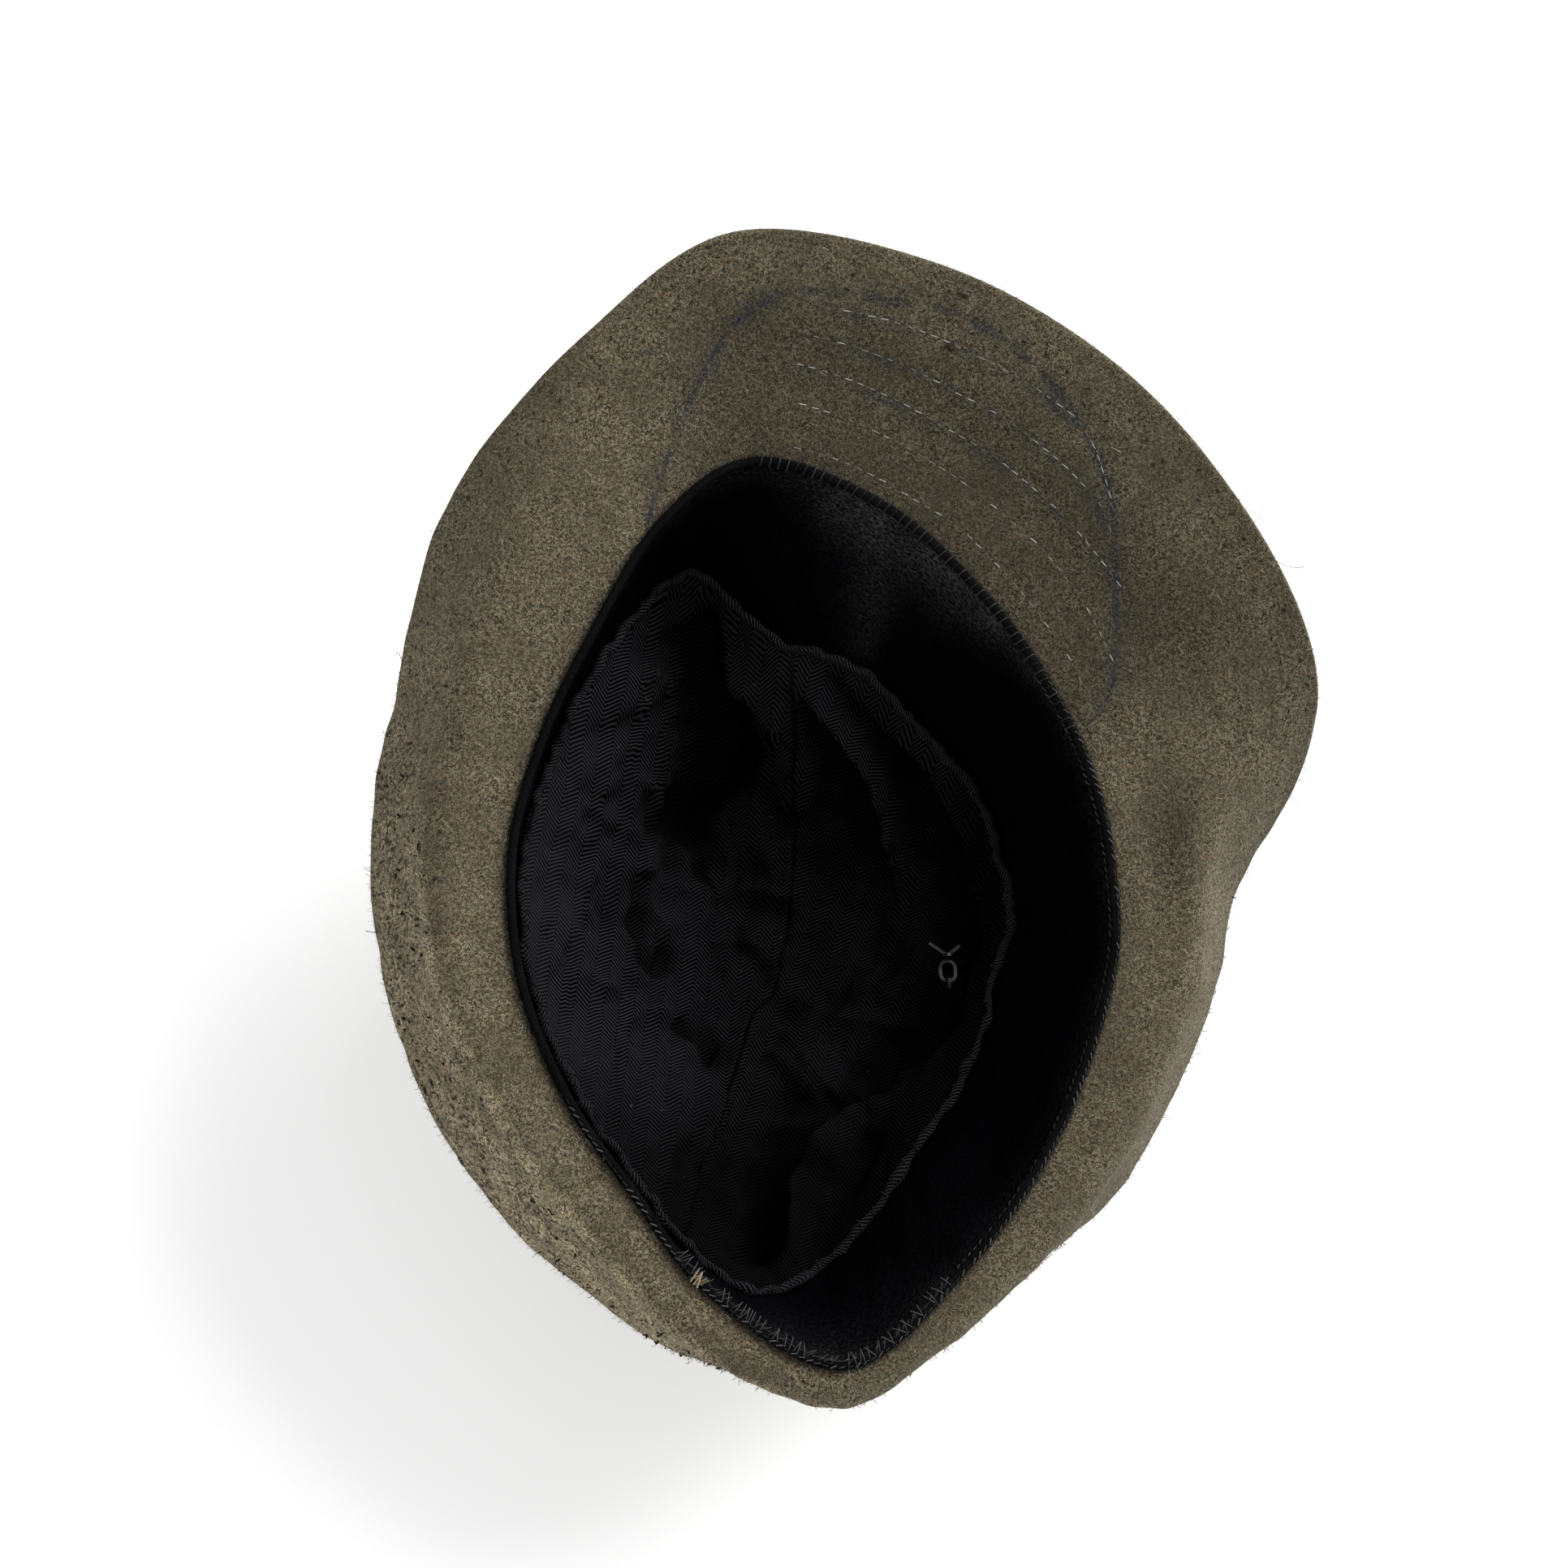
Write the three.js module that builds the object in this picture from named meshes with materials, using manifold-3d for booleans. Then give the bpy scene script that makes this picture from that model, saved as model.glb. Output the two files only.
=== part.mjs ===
// A tyrolean hat of loden felt, lying upside down on its crown.
// Millimetres, +Z up. The surface it lies on is z = 0, and +Y is the wearer's front.
// The hat is shaped in its own frame: the plane of the head opening is h = 0, the crown is below
// it and "above" is the side that faces up here. That frame leans, as the hat does where it lies.

import * as THREE from "three";
import { mergeVertices } from "three/addons/utils/BufferGeometryUtils.js";
import Module from "manifold-3d";

// Head opening and how the hat lies
const OPENING_LENGTH = 218;
const OPENING_WIDTH = 145;
const OPENING_HEIGHT = 98;
const LEAN_BACK_ANGLE = 11;
const LEAN_RIGHT_ANGLE = 8;

// Brim
const BRIM_WIDTH = 60;
const BRIM_THICKNESS = 2.4;

// Crown: the tip is the end that rests on the surface
const CROWN_THICKNESS = 2.2;
const TIP_LENGTH = 146;
const TIP_WIDTH = 108;
const TIP_TO_LEFT = 30;
const TIP_TO_FRONT = 4;
const TIP_ROUND = 13;
const TIP_RIM = 9;
const CREASE_DEPTH = 22;
const WALL_DRAW = 42;

// Sweatband, its welt and the lining
const BAND_WIDTH = 46;
const BAND_THICKNESS = 1.2;
const WELT_RADIUS = 1.1;
const LINING_THICKNESS = 1;
const LINING_HEIGHT = 33;
const FOLD_HEIGHT = 8;
const HEM_OVERLAP = 6;

// Ornament fastening through the right-hand wall: a headed stud that ends in an eye inside
const STUD_TURN = 0.008;
const STUD_DOWN = 0.45;
const EYE_STANDS_OFF = 4.8;
const SHANK_RADIUS = 0.9;
const HEAD_RADIUS = 7;
const HEAD_THICKNESS = 2.5;
const EYE_RADIUS = 2;
const EYE_WIRE = 0.75;

// The split pin through that eye, and the loose ring on the pin's loop
const PIN_TURN_ANGLE = 15;
const PIN_DROP_ANGLE = 15;
const PIN_STRIP = 0.8;
const PIN_LOOP_LENGTH = 6;
const PIN_LOOP_WIDTH = 4.4;
const PIN_OPEN_ANGLE = 52;
const PIN_LONG_LEG = 4.8;
const PIN_SHORT_LEG = 3.6;
const RING_RADIUS = 2.25;
const RING_WIRE = 0.7;

// Clearances
const SEAT_GAP = 0.3;
const HOLE_GAP = 0.35;

// Resolution
const AROUND = 72;

const DEGREE = Math.PI / 180;
const MERGE_DISTANCE = 1e-4;

// One row for each section round the hat, anticlockwise from the wearer's right.
// across, along: the opening's edge, as shares of half its width and half its length
// band: degrees that the sweatband leans in from straight down
// width: the felt's own width there, as a share of BRIM_WIDTH
// rise: degrees that the brim rises where it leaves the opening
// shelf: length before the brim bends, roll: radius of the bend, both as shares of BRIM_WIDTH
// turn: degrees that the bend turns the brim down, below zero where it turns up
const SECTIONS = [
  { across: 1.0, along: 0.02, band: 38, width: 0.8, rise: 6, shelf: 0.21, roll: 0.13, turn: 78 },
  { across: 0.92, along: 0.25, band: 32, width: 0.84, rise: 4, shelf: 0.26, roll: 0.18, turn: 62 },
  { across: 0.78, along: 0.44, band: 32, width: 0.98, rise: 6, shelf: 0.4, roll: 0.6, turn: 0 },
  { across: 0.57, along: 0.61, band: 37, width: 1.03, rise: 8, shelf: 0.3, roll: 0.9, turn: -14 },
  { across: 0.28, along: 0.77, band: 46, width: 1.04, rise: 8, shelf: 0.3, roll: 0.9, turn: -14 },
  { across: -0.1, along: 0.9, band: 58, width: 0.97, rise: 8, shelf: 0.3, roll: 0.9, turn: -14 },
  { across: -0.55, along: 0.92, band: 52, width: 0.89, rise: 12, shelf: 0.3, roll: 0.9, turn: -10 },
  { across: -0.8, along: 0.73, band: 15, width: 0.79, rise: 14, shelf: 0.4, roll: 0.6, turn: 6 },
  { across: -0.93, along: 0.43, band: 6, width: 0.84, rise: 12, shelf: 0.38, roll: 0.26, turn: 40 },
  { across: -0.99, along: 0.2, band: 4, width: 0.82, rise: 10, shelf: 0.25, roll: 0.16, turn: 64 },
  { across: -0.99, along: -0.05, band: 6, width: 0.8, rise: 10, shelf: 0.2, roll: 0.14, turn: 72 },
  { across: -0.86, along: -0.31, band: 5, width: 0.8, rise: 12, shelf: 0.18, roll: 0.13, turn: 80 },
  { across: -0.62, along: -0.53, band: 8, width: 0.79, rise: 14, shelf: 0.15, roll: 0.13, turn: 86 },
  { across: -0.34, along: -0.69, band: 8, width: 0.78, rise: 15, shelf: 0.12, roll: 0.12, turn: 92 },
  { across: 0.0, along: -0.86, band: 17, width: 0.77, rise: 16, shelf: 0.08, roll: 0.1, turn: 106 },
  { across: 0.47, along: -0.93, band: 45, width: 0.75, rise: 16, shelf: 0.04, roll: 0.08, turn: 118 },
  { across: 0.77, along: -0.66, band: 48, width: 0.77, rise: 14, shelf: 0.06, roll: 0.1, turn: 110 },
  { across: 0.95, along: -0.34, band: 39, width: 0.79, rise: 10, shelf: 0.13, roll: 0.12, turn: 90 },
];

// How the crown's felt follows the sweatband's lean where the two start
const WALL_FOLLOWS_SHARE = 0.7;
const WALL_STANDS_OUT_ANGLE = 4;

// Folds of the lining, each a ridge or a valley along a line seen from above the opening.
// from and to: its ends, as shares of the opening's half width and half length
// bow: how far the line's middle stands to the left of the way it runs, as a share of its length
// width: half width, height: below zero for a valley, both as shares of FOLD_HEIGHT
const FOLDS = [
  { from: [-0.6, 0.72], to: [-0.33, 0.1], bow: 0.04, width: 0.7, height: -0.9 },
  { from: [-0.42, 0.66], to: [-0.22, 0.3], bow: 0, width: 0.8, height: 0.5 },
  { from: [-0.2, 0.56], to: [0.23, 0.12], bow: 0.14, width: 0.6, height: -0.8 },
  { from: [-0.14, 0.56], to: [0.3, 0.14], bow: 0.16, width: 0.6, height: 0.7 },
  { from: [0.02, 0.54], to: [0.4, 0.16], bow: 0.1, width: 0.7, height: -0.6 },
  { from: [0.14, 0.54], to: [0.5, 0.2], bow: 0.1, width: 0.9, height: 0.5 },
  { from: [0.56, 0.1], to: [0.52, -0.06], bow: 0, width: 1.2, height: -1.3 },
  { from: [0.54, -0.06], to: [0.36, -0.32], bow: 0, width: 0.9, height: -0.8 },
  { from: [0.34, -0.02], to: [0.06, -0.36], bow: 0, width: 1.2, height: 0.7 },
  { from: [0.62, -0.12], to: [0.42, -0.42], bow: 0, width: 0.9, height: 0.8 },
  { from: [0.35, -0.34], to: [0.18, -0.7], bow: -0.08, width: 0.8, height: -0.9 },
  { from: [0.38, -0.4], to: [0.28, -0.7], bow: 0, width: 1, height: 0.9 },
  { from: [-0.76, -0.06], to: [-0.46, -0.46], bow: 0, width: 2.4, height: 1 },
  { from: [-0.4, 0.02], to: [-0.34, -0.06], bow: 0, width: 0.9, height: -0.6 },
  { from: [-0.24, -0.2], to: [-0.12, -0.32], bow: 0, width: 0.8, height: -0.5 },
  { from: [-0.05, -0.36], to: [-0.22, -0.64], bow: -0.1, width: 0.6, height: -0.5 },
];

// The leaning frame of the hat
const leanBack = LEAN_BACK_ANGLE * DEGREE;
const leanRight = LEAN_RIGHT_ANGLE * DEGREE;
const UP = new THREE.Vector3(
  Math.sin(leanRight) * Math.cos(leanBack),
  -Math.sin(leanBack),
  Math.cos(leanRight) * Math.cos(leanBack),
).normalize();
const RIGHT = new THREE.Vector3(0, 1, 0).cross(UP).normalize();
const FRONT = new THREE.Vector3().crossVectors(UP, RIGHT);

// A point of the hat's own frame, placed where the hat lies.
function lay(x, y, h) {
  return new THREE.Vector3(0, 0, OPENING_HEIGHT)
    .addScaledVector(RIGHT, x)
    .addScaledVector(FRONT, y)
    .addScaledVector(UP, h);
}

// The value of one column at any place round the hat, turn being 0 to 1.
function column(name, turn) {
  const count = SECTIONS.length;
  const place = (((turn % 1) + 1) % 1) * count;
  const row = Math.floor(place);
  const f = place - row;
  const [a, b, c, d] = [-1, 0, 1, 2].map((k) => SECTIONS[(row + k + count) % count][name]);
  return b + 0.5 * f * (c - a + f * (2 * a - 5 * b + 4 * c - d + f * (3 * (b - c) + d - a)));
}

// The opening's edge in the hat's frame.
function opening(turn) {
  return new THREE.Vector2(
    (column("across", turn) * OPENING_WIDTH) / 2,
    (column("along", turn) * OPENING_LENGTH) / 2,
  );
}

// The opening's edge, moved outwards at right angles to itself.
function openingOffset(turn, distance) {
  const step = 0.5 / AROUND;
  const tangent = opening(turn + step).sub(opening(turn - step)).normalize();
  return opening(turn).add(new THREE.Vector2(tangent.y, -tangent.x).multiplyScalar(distance));
}

const turns = Array.from({ length: AROUND }, (_, j) => j / AROUND);

// Surface grids: a grid is a list of rings, and a ring is a list of points.

// The direction at right angles to a grid at each of its points.
function gridNormals(grid) {
  return grid.map((ring, i) =>
    ring.map((_, j) => {
      const below = grid[Math.max(i - 1, 0)][j];
      const above = grid[Math.min(i + 1, grid.length - 1)][j];
      const before = ring[(j + ring.length - 1) % ring.length];
      const after = ring[(j + 1) % ring.length];
      const down = new THREE.Vector3().subVectors(above, below);
      return new THREE.Vector3().subVectors(after, before).cross(down).normalize();
    }),
  );
}

function offsetGrid(grid, distance) {
  const normals = gridNormals(grid);
  return grid.map((ring, i) => ring.map((p, j) => p.clone().addScaledVector(normals[i][j], distance)));
}

// Turns a closed list of rings, or a list of rings closed by two middle points, into a solid.
function solidOfRings(rings, firstMiddle, lastMiddle) {
  const around = rings[0].length;
  const points = rings.flat();
  const faces = [];
  const closed = !firstMiddle;
  const bands = closed ? rings.length : rings.length - 1;
  for (let i = 0; i < bands; i++) {
    const next = (i + 1) % rings.length;
    for (let j = 0; j < around; j++) {
      const k = (j + 1) % around;
      const [a, b, c, d] = [i * around + j, i * around + k, next * around + k, next * around + j];
      faces.push(a, b, c, a, c, d);
    }
  }
  if (!closed) {
    const first = points.push(firstMiddle) - 1;
    const last = points.push(lastMiddle) - 1;
    const end = (rings.length - 1) * around;
    for (let j = 0; j < around; j++) {
      const k = (j + 1) % around;
      faces.push(first, k, j, last, end + j, end + k);
    }
  }
  return facingOut(points, faces);
}

// A geometry whose faces point out, whichever way round its rings ran.
function facingOut(points, faces) {
  let volume = 0;
  for (let f = 0; f < faces.length; f += 3) {
    const [a, b, c] = [points[faces[f]], points[faces[f + 1]], points[faces[f + 2]]];
    volume += a.dot(new THREE.Vector3().crossVectors(b, c));
  }
  if (volume < 0) faces.reverse();
  return new THREE.BufferGeometry()
    .setAttribute("position", new THREE.Float32BufferAttribute(points.flatMap((p) => p.toArray()), 3))
    .setIndex(faces);
}

// The wall between two grids of one size, open at both ends, as one solid.
function wall(front, back) {
  return solidOfRings([...front, ...back.slice().reverse()]);
}

// The wall between two bowls of one size, closed at the bottom by a middle point each.
function bowl(front, back, frontMiddle, backMiddle) {
  return solidOfRings([...front.slice().reverse(), ...back], frontMiddle, backMiddle);
}

// Brim: each section leaves the opening, bends once and runs on to the edge.
const SHELF_STEPS = [0, 0.55];
const BEND_STEPS = [0, 0.33, 0.67, 1];
const OUTER_STEPS = [0.35, 0.7, 1];

function brimSection(turn) {
  const start = opening(turn);
  const heading = start.clone().normalize();
  const length = column("width", turn) * BRIM_WIDTH;
  const shelf = column("shelf", turn) * BRIM_WIDTH;
  const turnDown = column("turn", turn) * DEGREE;
  const rise = column("rise", turn) * DEGREE;
  const radius = column("roll", turn) * BRIM_WIDTH;
  const bend = Math.min(radius * Math.abs(turnDown), length - shelf);
  const bendAngle = (Math.sign(turnDown) * bend) / radius;
  const outer = length - shelf - bend;
  let out = 0;
  let up = 0;
  const section = [];
  const add = () => section.push(lay(start.x + heading.x * out, start.y + heading.y * out, up));
  const path = [
    ...SHELF_STEPS.map((s) => [s * shelf, rise]),
    ...BEND_STEPS.map((s) => [shelf + s * bend, rise - s * bendAngle]),
    ...OUTER_STEPS.map((s) => [shelf + bend + s * outer, rise - bendAngle]),
  ];
  let [travelled, slope] = path[0];
  add();
  for (const [distance, newSlope] of path.slice(1)) {
    const step = distance - travelled;
    const middle = (slope + newSlope) / 2;
    out += step * Math.cos(middle);
    up += step * Math.sin(middle);
    travelled = distance;
    slope = newSlope;
    add();
  }
  return section;
}

const brimSections = turns.map(brimSection);
const brimTop = brimSections[0].map((_, i) => brimSections.map((section) => section[i]));
const brimBelow = offsetGrid(brimTop, BRIM_THICKNESS);

// Crown: a curved wall down to the tip, its rounded shoulder, the rim it lies on and the crease.
const WALL_STEPS = [0, 0.25, 0.5, 0.75, 1];
const SHOULDER_STEPS = [0.5, 1];
const CREASE_STEPS = [0.35, 0.7, 1];
const CREASE_WIDTH = 0.1;
const CREASE_LENGTH = 0.55;

// A point of the tip's outline in plan, shrunk by two shares.
function tipPoint(heading, shareAcross, shareAlong, inset) {
  const halfWidth = TIP_WIDTH / 2 - inset;
  const halfLength = TIP_LENGTH / 2 - inset;
  return new THREE.Vector3(
    Math.cos(heading) * halfWidth * shareAcross - TIP_TO_LEFT,
    Math.sin(heading) * halfLength * shareAlong + TIP_TO_FRONT,
    0,
  );
}

// The curve of the crown's wall, from the opening to the shoulder of the tip.
function wallCurve(turn) {
  const edge = openingOffset(turn, CROWN_THICKNESS);
  const inwards = opening(turn).normalize().negate();
  const heading = Math.atan2(-inwards.y, -inwards.x);
  const lean = (column("band", turn) * WALL_FOLLOWS_SHARE - WALL_STANDS_OUT_ANGLE) * DEGREE;
  const drop = -BRIM_THICKNESS - 2 * SEAT_GAP - CROWN_THICKNESS * Math.max(Math.sin(lean), 0);
  const reach = WALL_DRAW * Math.sin(lean);
  const start = lay(edge.x, edge.y, drop);
  const leaving = lay(
    edge.x + inwards.x * reach,
    edge.y + inwards.y * reach,
    drop - WALL_DRAW * Math.cos(lean),
  );
  const shoulder = tipPoint(heading, 1, 1, 0).setZ(TIP_ROUND);
  const arriving = shoulder.clone().setZ(TIP_ROUND + WALL_DRAW / 2);
  return new THREE.CubicBezierCurve3(start, leaving, arriving, shoulder);
}

function crownSection(turn) {
  const edge = opening(turn);
  const heading = Math.atan2(edge.y, edge.x);
  const curve = wallCurve(turn);
  const section = WALL_STEPS.map((s) => curve.getPoint(s));
  for (const s of SHOULDER_STEPS) {
    const angle = (s * Math.PI) / 2;
    const inset = TIP_ROUND * (1 - Math.cos(angle));
    section.push(tipPoint(heading, 1, 1, inset).setZ(TIP_ROUND * (1 - Math.sin(angle))));
  }
  section.push(tipPoint(heading, 1, 1, TIP_ROUND + TIP_RIM));
  for (const s of CREASE_STEPS) {
    const across = THREE.MathUtils.lerp(1, CREASE_WIDTH, s);
    const along = THREE.MathUtils.lerp(1, CREASE_LENGTH, s);
    const up = CREASE_DEPTH * THREE.MathUtils.smoothstep(s, 0, 1);
    section.push(tipPoint(heading, across, along, TIP_ROUND + TIP_RIM).setZ(up));
  }
  return section;
}

const crownSections = turns.map(crownSection);
const crownOutside = crownSections[0].map((_, i) => crownSections.map((section) => section[i]));
const crownInside = offsetGrid(crownOutside, CROWN_THICKNESS);
const creaseMiddle = tipPoint(0, 0, 0, 0).setZ(CREASE_DEPTH);
const creaseMiddleInside = creaseMiddle.clone().setZ(CREASE_DEPTH + CROWN_THICKNESS);

// Sweatband: straight sections that lean in from the opening's edge.
const BAND_STEPS = [0, 0.5, 1];

// A point on the sweatband's face, a distance down from its edge.
function bandPoint(turn, distance) {
  const edge = openingOffset(turn, -SEAT_GAP - BAND_THICKNESS);
  const inwards = opening(turn).normalize().negate();
  const lean = column("band", turn) * DEGREE;
  const reach = distance * Math.sin(lean);
  return lay(edge.x + inwards.x * reach, edge.y + inwards.y * reach, -distance * Math.cos(lean));
}

const bandFace = BAND_STEPS.map((s) => turns.map((turn) => bandPoint(turn, s * BAND_WIDTH)));
const bandBack = offsetGrid(bandFace, -BAND_THICKNESS);

// Welt: a round cord along the sweatband's edge.
const WELT_SIDES = 6;
const weltRings = Array.from({ length: WELT_SIDES }, (_, i) => {
  const angle = ((i + 0.5) / WELT_SIDES) * 2 * Math.PI;
  return turns.map((turn) => {
    const p = openingOffset(turn, -WELT_RADIUS + WELT_RADIUS * Math.cos(angle));
    return lay(p.x, p.y, WELT_RADIUS + SEAT_GAP + WELT_RADIUS * Math.sin(angle));
  });
});

// Lining: it starts on the sweatband's face and sags to its middle, over the crease, in folds.
const LINING_STEPS = [0.08, 0.17, 0.27, 0.37, 0.47, 0.57, 0.67, 0.78, 0.89];
const FOLD_POINTS = 8;
const FOLD_START = 0.12;
const SAG_POWER = 2;
const MIDDLE_SHIFT = 0.6;
const liningProud = LINING_THICKNESS + 2 * SEAT_GAP;
const hemDistance = BAND_WIDTH - HEM_OVERLAP;
const clearOfBand = BAND_WIDTH + HEM_OVERLAP / 2;
const liningMiddle = new THREE.Vector3(-TIP_TO_LEFT, TIP_TO_FRONT, 0)
  .multiplyScalar(MIDDLE_SHIFT)
  .setZ(LINING_HEIGHT);

// A place in the opening's plane from shares of its half width and half length.
function inOpening([across, along]) {
  return new THREE.Vector2((across * OPENING_WIDTH) / 2, (along * OPENING_LENGTH) / 2);
}

const foldLines = FOLDS.map((fold) => {
  const from = inOpening(fold.from);
  const to = inOpening(fold.to);
  const run = to.clone().sub(from);
  const side = new THREE.Vector2(-run.y, run.x).multiplyScalar(2 * fold.bow);
  const middle = from.clone().add(to).multiplyScalar(0.5).add(side);
  const line = new THREE.QuadraticBezierCurve(from, middle, to).getPoints(FOLD_POINTS);
  return { line, width: fold.width * FOLD_HEIGHT, height: fold.height * FOLD_HEIGHT };
});

// The distance from a place to the nearest part of a line of points.
function distanceToLine(place, line) {
  let least = Infinity;
  for (let i = 1; i < line.length; i++) {
    const run = line[i].clone().sub(line[i - 1]);
    const away = place.clone().sub(line[i - 1]);
    const share = THREE.MathUtils.clamp(away.dot(run) / run.lengthSq(), 0, 1);
    least = Math.min(least, away.sub(run.multiplyScalar(share)).length());
  }
  return least;
}

function foldHeight(point) {
  const fromOpening = point.clone().setZ(point.z - OPENING_HEIGHT);
  const place = new THREE.Vector2(fromOpening.dot(RIGHT), fromOpening.dot(FRONT));
  return foldLines.reduce((height, fold) => {
    const away = distanceToLine(place, fold.line) / fold.width;
    return height + fold.height * Math.exp(-away * away);
  }, 0);
}

const liningEdges = offsetGrid(
  [hemDistance, clearOfBand].map((distance) => turns.map((turn) => bandPoint(turn, distance))),
  liningProud,
);
const liningSag = LINING_STEPS.map((s) =>
  liningEdges[1].map((edge) => {
    const height = THREE.MathUtils.lerp(liningMiddle.z, edge.z, (1 - s) ** SAG_POWER);
    return edge.clone().lerp(liningMiddle, s).setZ(height);
  }),
);
const liningBase = [...liningEdges, ...liningSag];
const liningNormals = gridNormals(liningBase);
const liningFace = liningBase.map((ring, i) =>
  ring.map((point, j) => {
    const way = i < liningEdges.length ? 0 : LINING_STEPS[i - liningEdges.length];
    const height = foldHeight(point) * THREE.MathUtils.smoothstep(way, 0, FOLD_START);
    return point.clone().addScaledVector(liningNormals[i][j], height);
  }),
);
const liningBack = offsetGrid(liningFace, -LINING_THICKNESS);
const liningCentre = liningMiddle.clone();
liningCentre.z += foldHeight(liningMiddle);
const liningCentreBack = liningCentre.clone().setZ(liningCentre.z - LINING_THICKNESS);

// Solids for cutting and joining
const wasm = await Module();
wasm.setup();

function solidFrom(geometry) {
  const bare = new THREE.BufferGeometry().setAttribute("position", geometry.getAttribute("position"));
  bare.setIndex(geometry.index);
  const merged = mergeVertices(bare, MERGE_DISTANCE);
  const vertProperties = merged.getAttribute("position").array;
  const triVerts = new Uint32Array(merged.index.array);
  return new wasm.Manifold(new wasm.Mesh({ numProp: 3, vertProperties, triVerts }));
}

function geometryFrom(solid) {
  const { vertProperties, triVerts } = solid.getMesh();
  return new THREE.BufferGeometry()
    .setAttribute("position", new THREE.Float32BufferAttribute(vertProperties, 3))
    .setIndex(Array.from(triVerts));
}

const join = (...geometries) => geometryFrom(wasm.Manifold.union(geometries.map(solidFrom)));
const cut = (geometry, tool) => geometryFrom(solidFrom(geometry).subtract(solidFrom(tool)));

// A frame that stands at a place, with its Z along one direction and its Y near another.
function standing(place, along, near) {
  const x = new THREE.Vector3().crossVectors(near, along).normalize();
  const y = new THREE.Vector3().crossVectors(along, x);
  return new THREE.Matrix4().makeBasis(x, y, along).setPosition(place);
}

// A rod along Z between two heights.
function rod(radius, low, high, sides) {
  const shape = new THREE.CylinderGeometry(radius, radius, high - low, sides);
  return shape.rotateX(Math.PI / 2).translate(0, 0, (low + high) / 2);
}

// A flat ring across Z, cut from strip of one width, with straight sides where it is long.
function flatRing(width, length, strip, thickness) {
  const outline = (radius, straight) =>
    new THREE.Path()
      .absarc(0, straight, radius, 0, Math.PI)
      .absarc(0, -straight, radius, Math.PI, 2 * Math.PI)
      .getPoints(RING_SIDES);
  const straight = (length - width) / 2;
  const shape = new THREE.Shape(outline(width / 2, straight));
  shape.holes.push(new THREE.Path(outline(width / 2 - strip, straight)));
  const ring = new THREE.ExtrudeGeometry(shape, { depth: thickness, bevelEnabled: false });
  return ring.translate(0, 0, -thickness / 2);
}

// Stud: a head outside, a shank through the felt and the lining, and an eye on its end.
const ROD_SIDES = 10;
const HEAD_SIDES = 24;
const RING_SIDES = 8;
const studCurve = wallCurve(STUD_TURN);
const studSeat = studCurve.getPoint(STUD_DOWN);
const beside = wallCurve(STUD_TURN + 1 / AROUND).getPoint(STUD_DOWN).sub(studSeat);
const throughWall = beside.cross(studCurve.getTangent(STUD_DOWN)).normalize();
const seatFrame = standing(studSeat, throughWall, FRONT);
const headTop = -2 * SEAT_GAP;
const head = rod(HEAD_RADIUS, headTop - HEAD_THICKNESS, headTop, HEAD_SIDES).applyMatrix4(seatFrame);
const besideEye = bandPoint(STUD_TURN, clearOfBand);
const eyeReach = besideEye.clone().sub(studSeat).dot(throughWall) + EYE_STANDS_OFF;
const shankReach = eyeReach - EYE_RADIUS + EYE_WIRE / 2;
const shank = rod(SHANK_RADIUS, headTop - HEAD_THICKNESS / 2, shankReach, ROD_SIDES).applyMatrix4(seatFrame);
const hole = rod(SHANK_RADIUS + HOLE_GAP, headTop, eyeReach, ROD_SIDES).applyMatrix4(seatFrame);

// Split pin: it runs through the eye, with its loop behind it and its two legs bent open in front.
const pinTurn = PIN_TURN_ANGLE * DEGREE;
const pinDrop = PIN_DROP_ANGLE * DEGREE;
const pinWay = new THREE.Vector3()
  .addScaledVector(RIGHT, -Math.sin(pinTurn) * Math.cos(pinDrop))
  .addScaledVector(FRONT, Math.cos(pinTurn) * Math.cos(pinDrop))
  .addScaledVector(UP, -Math.sin(pinDrop));
const eyeCentre = studSeat.clone().addScaledVector(throughWall, eyeReach);
const pinFrame = standing(eyeCentre, pinWay, UP);
const eye = flatRing(2 * EYE_RADIUS, 2 * EYE_RADIUS, EYE_WIRE, EYE_WIRE).applyMatrix4(pinFrame);

const legsFrom = EYE_WIRE / 2 + SEAT_GAP;
const loopMiddle = -legsFrom - PIN_LOOP_LENGTH / 2;
const pinLoop = flatRing(PIN_LOOP_WIDTH, PIN_LOOP_LENGTH, PIN_STRIP, PIN_STRIP);
pinLoop.rotateX(Math.PI / 2).translate(0, 0, loopMiddle);
const closedLegs = new THREE.BoxGeometry(2 * PIN_STRIP, PIN_STRIP, 2 * legsFrom + PIN_STRIP);

function bentLeg(length, side) {
  const leg = new THREE.BoxGeometry(PIN_STRIP, PIN_STRIP, length).translate(0, 0, length / 2);
  return leg.rotateY(side * PIN_OPEN_ANGLE * DEGREE).translate((side * PIN_STRIP) / 2, 0, legsFrom);
}

const splitPin = join(pinLoop, closedLegs, bentLeg(PIN_LONG_LEG, 1), bentLeg(PIN_SHORT_LEG, -1));
splitPin.applyMatrix4(pinFrame);

// Ring: it hangs on edge from the far end of the pin's loop.
const loopEnd = loopMiddle - PIN_LOOP_LENGTH / 2 + PIN_STRIP;
const ringMiddle = loopEnd - (RING_RADIUS - RING_WIRE - 2 * SEAT_GAP);
const ring = flatRing(2 * RING_RADIUS, 2 * RING_RADIUS, RING_WIRE, RING_WIRE);
ring.rotateY(Math.PI / 2).translate(0, 0, ringMiddle).applyMatrix4(pinFrame);

const group = new THREE.Group();

function piece(name, geometry, color, roughness, metalness) {
  const mesh = new THREE.Mesh(geometry, new THREE.MeshStandardMaterial({ color, roughness, metalness }));
  mesh.name = name;
  group.add(mesh);
}

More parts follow.
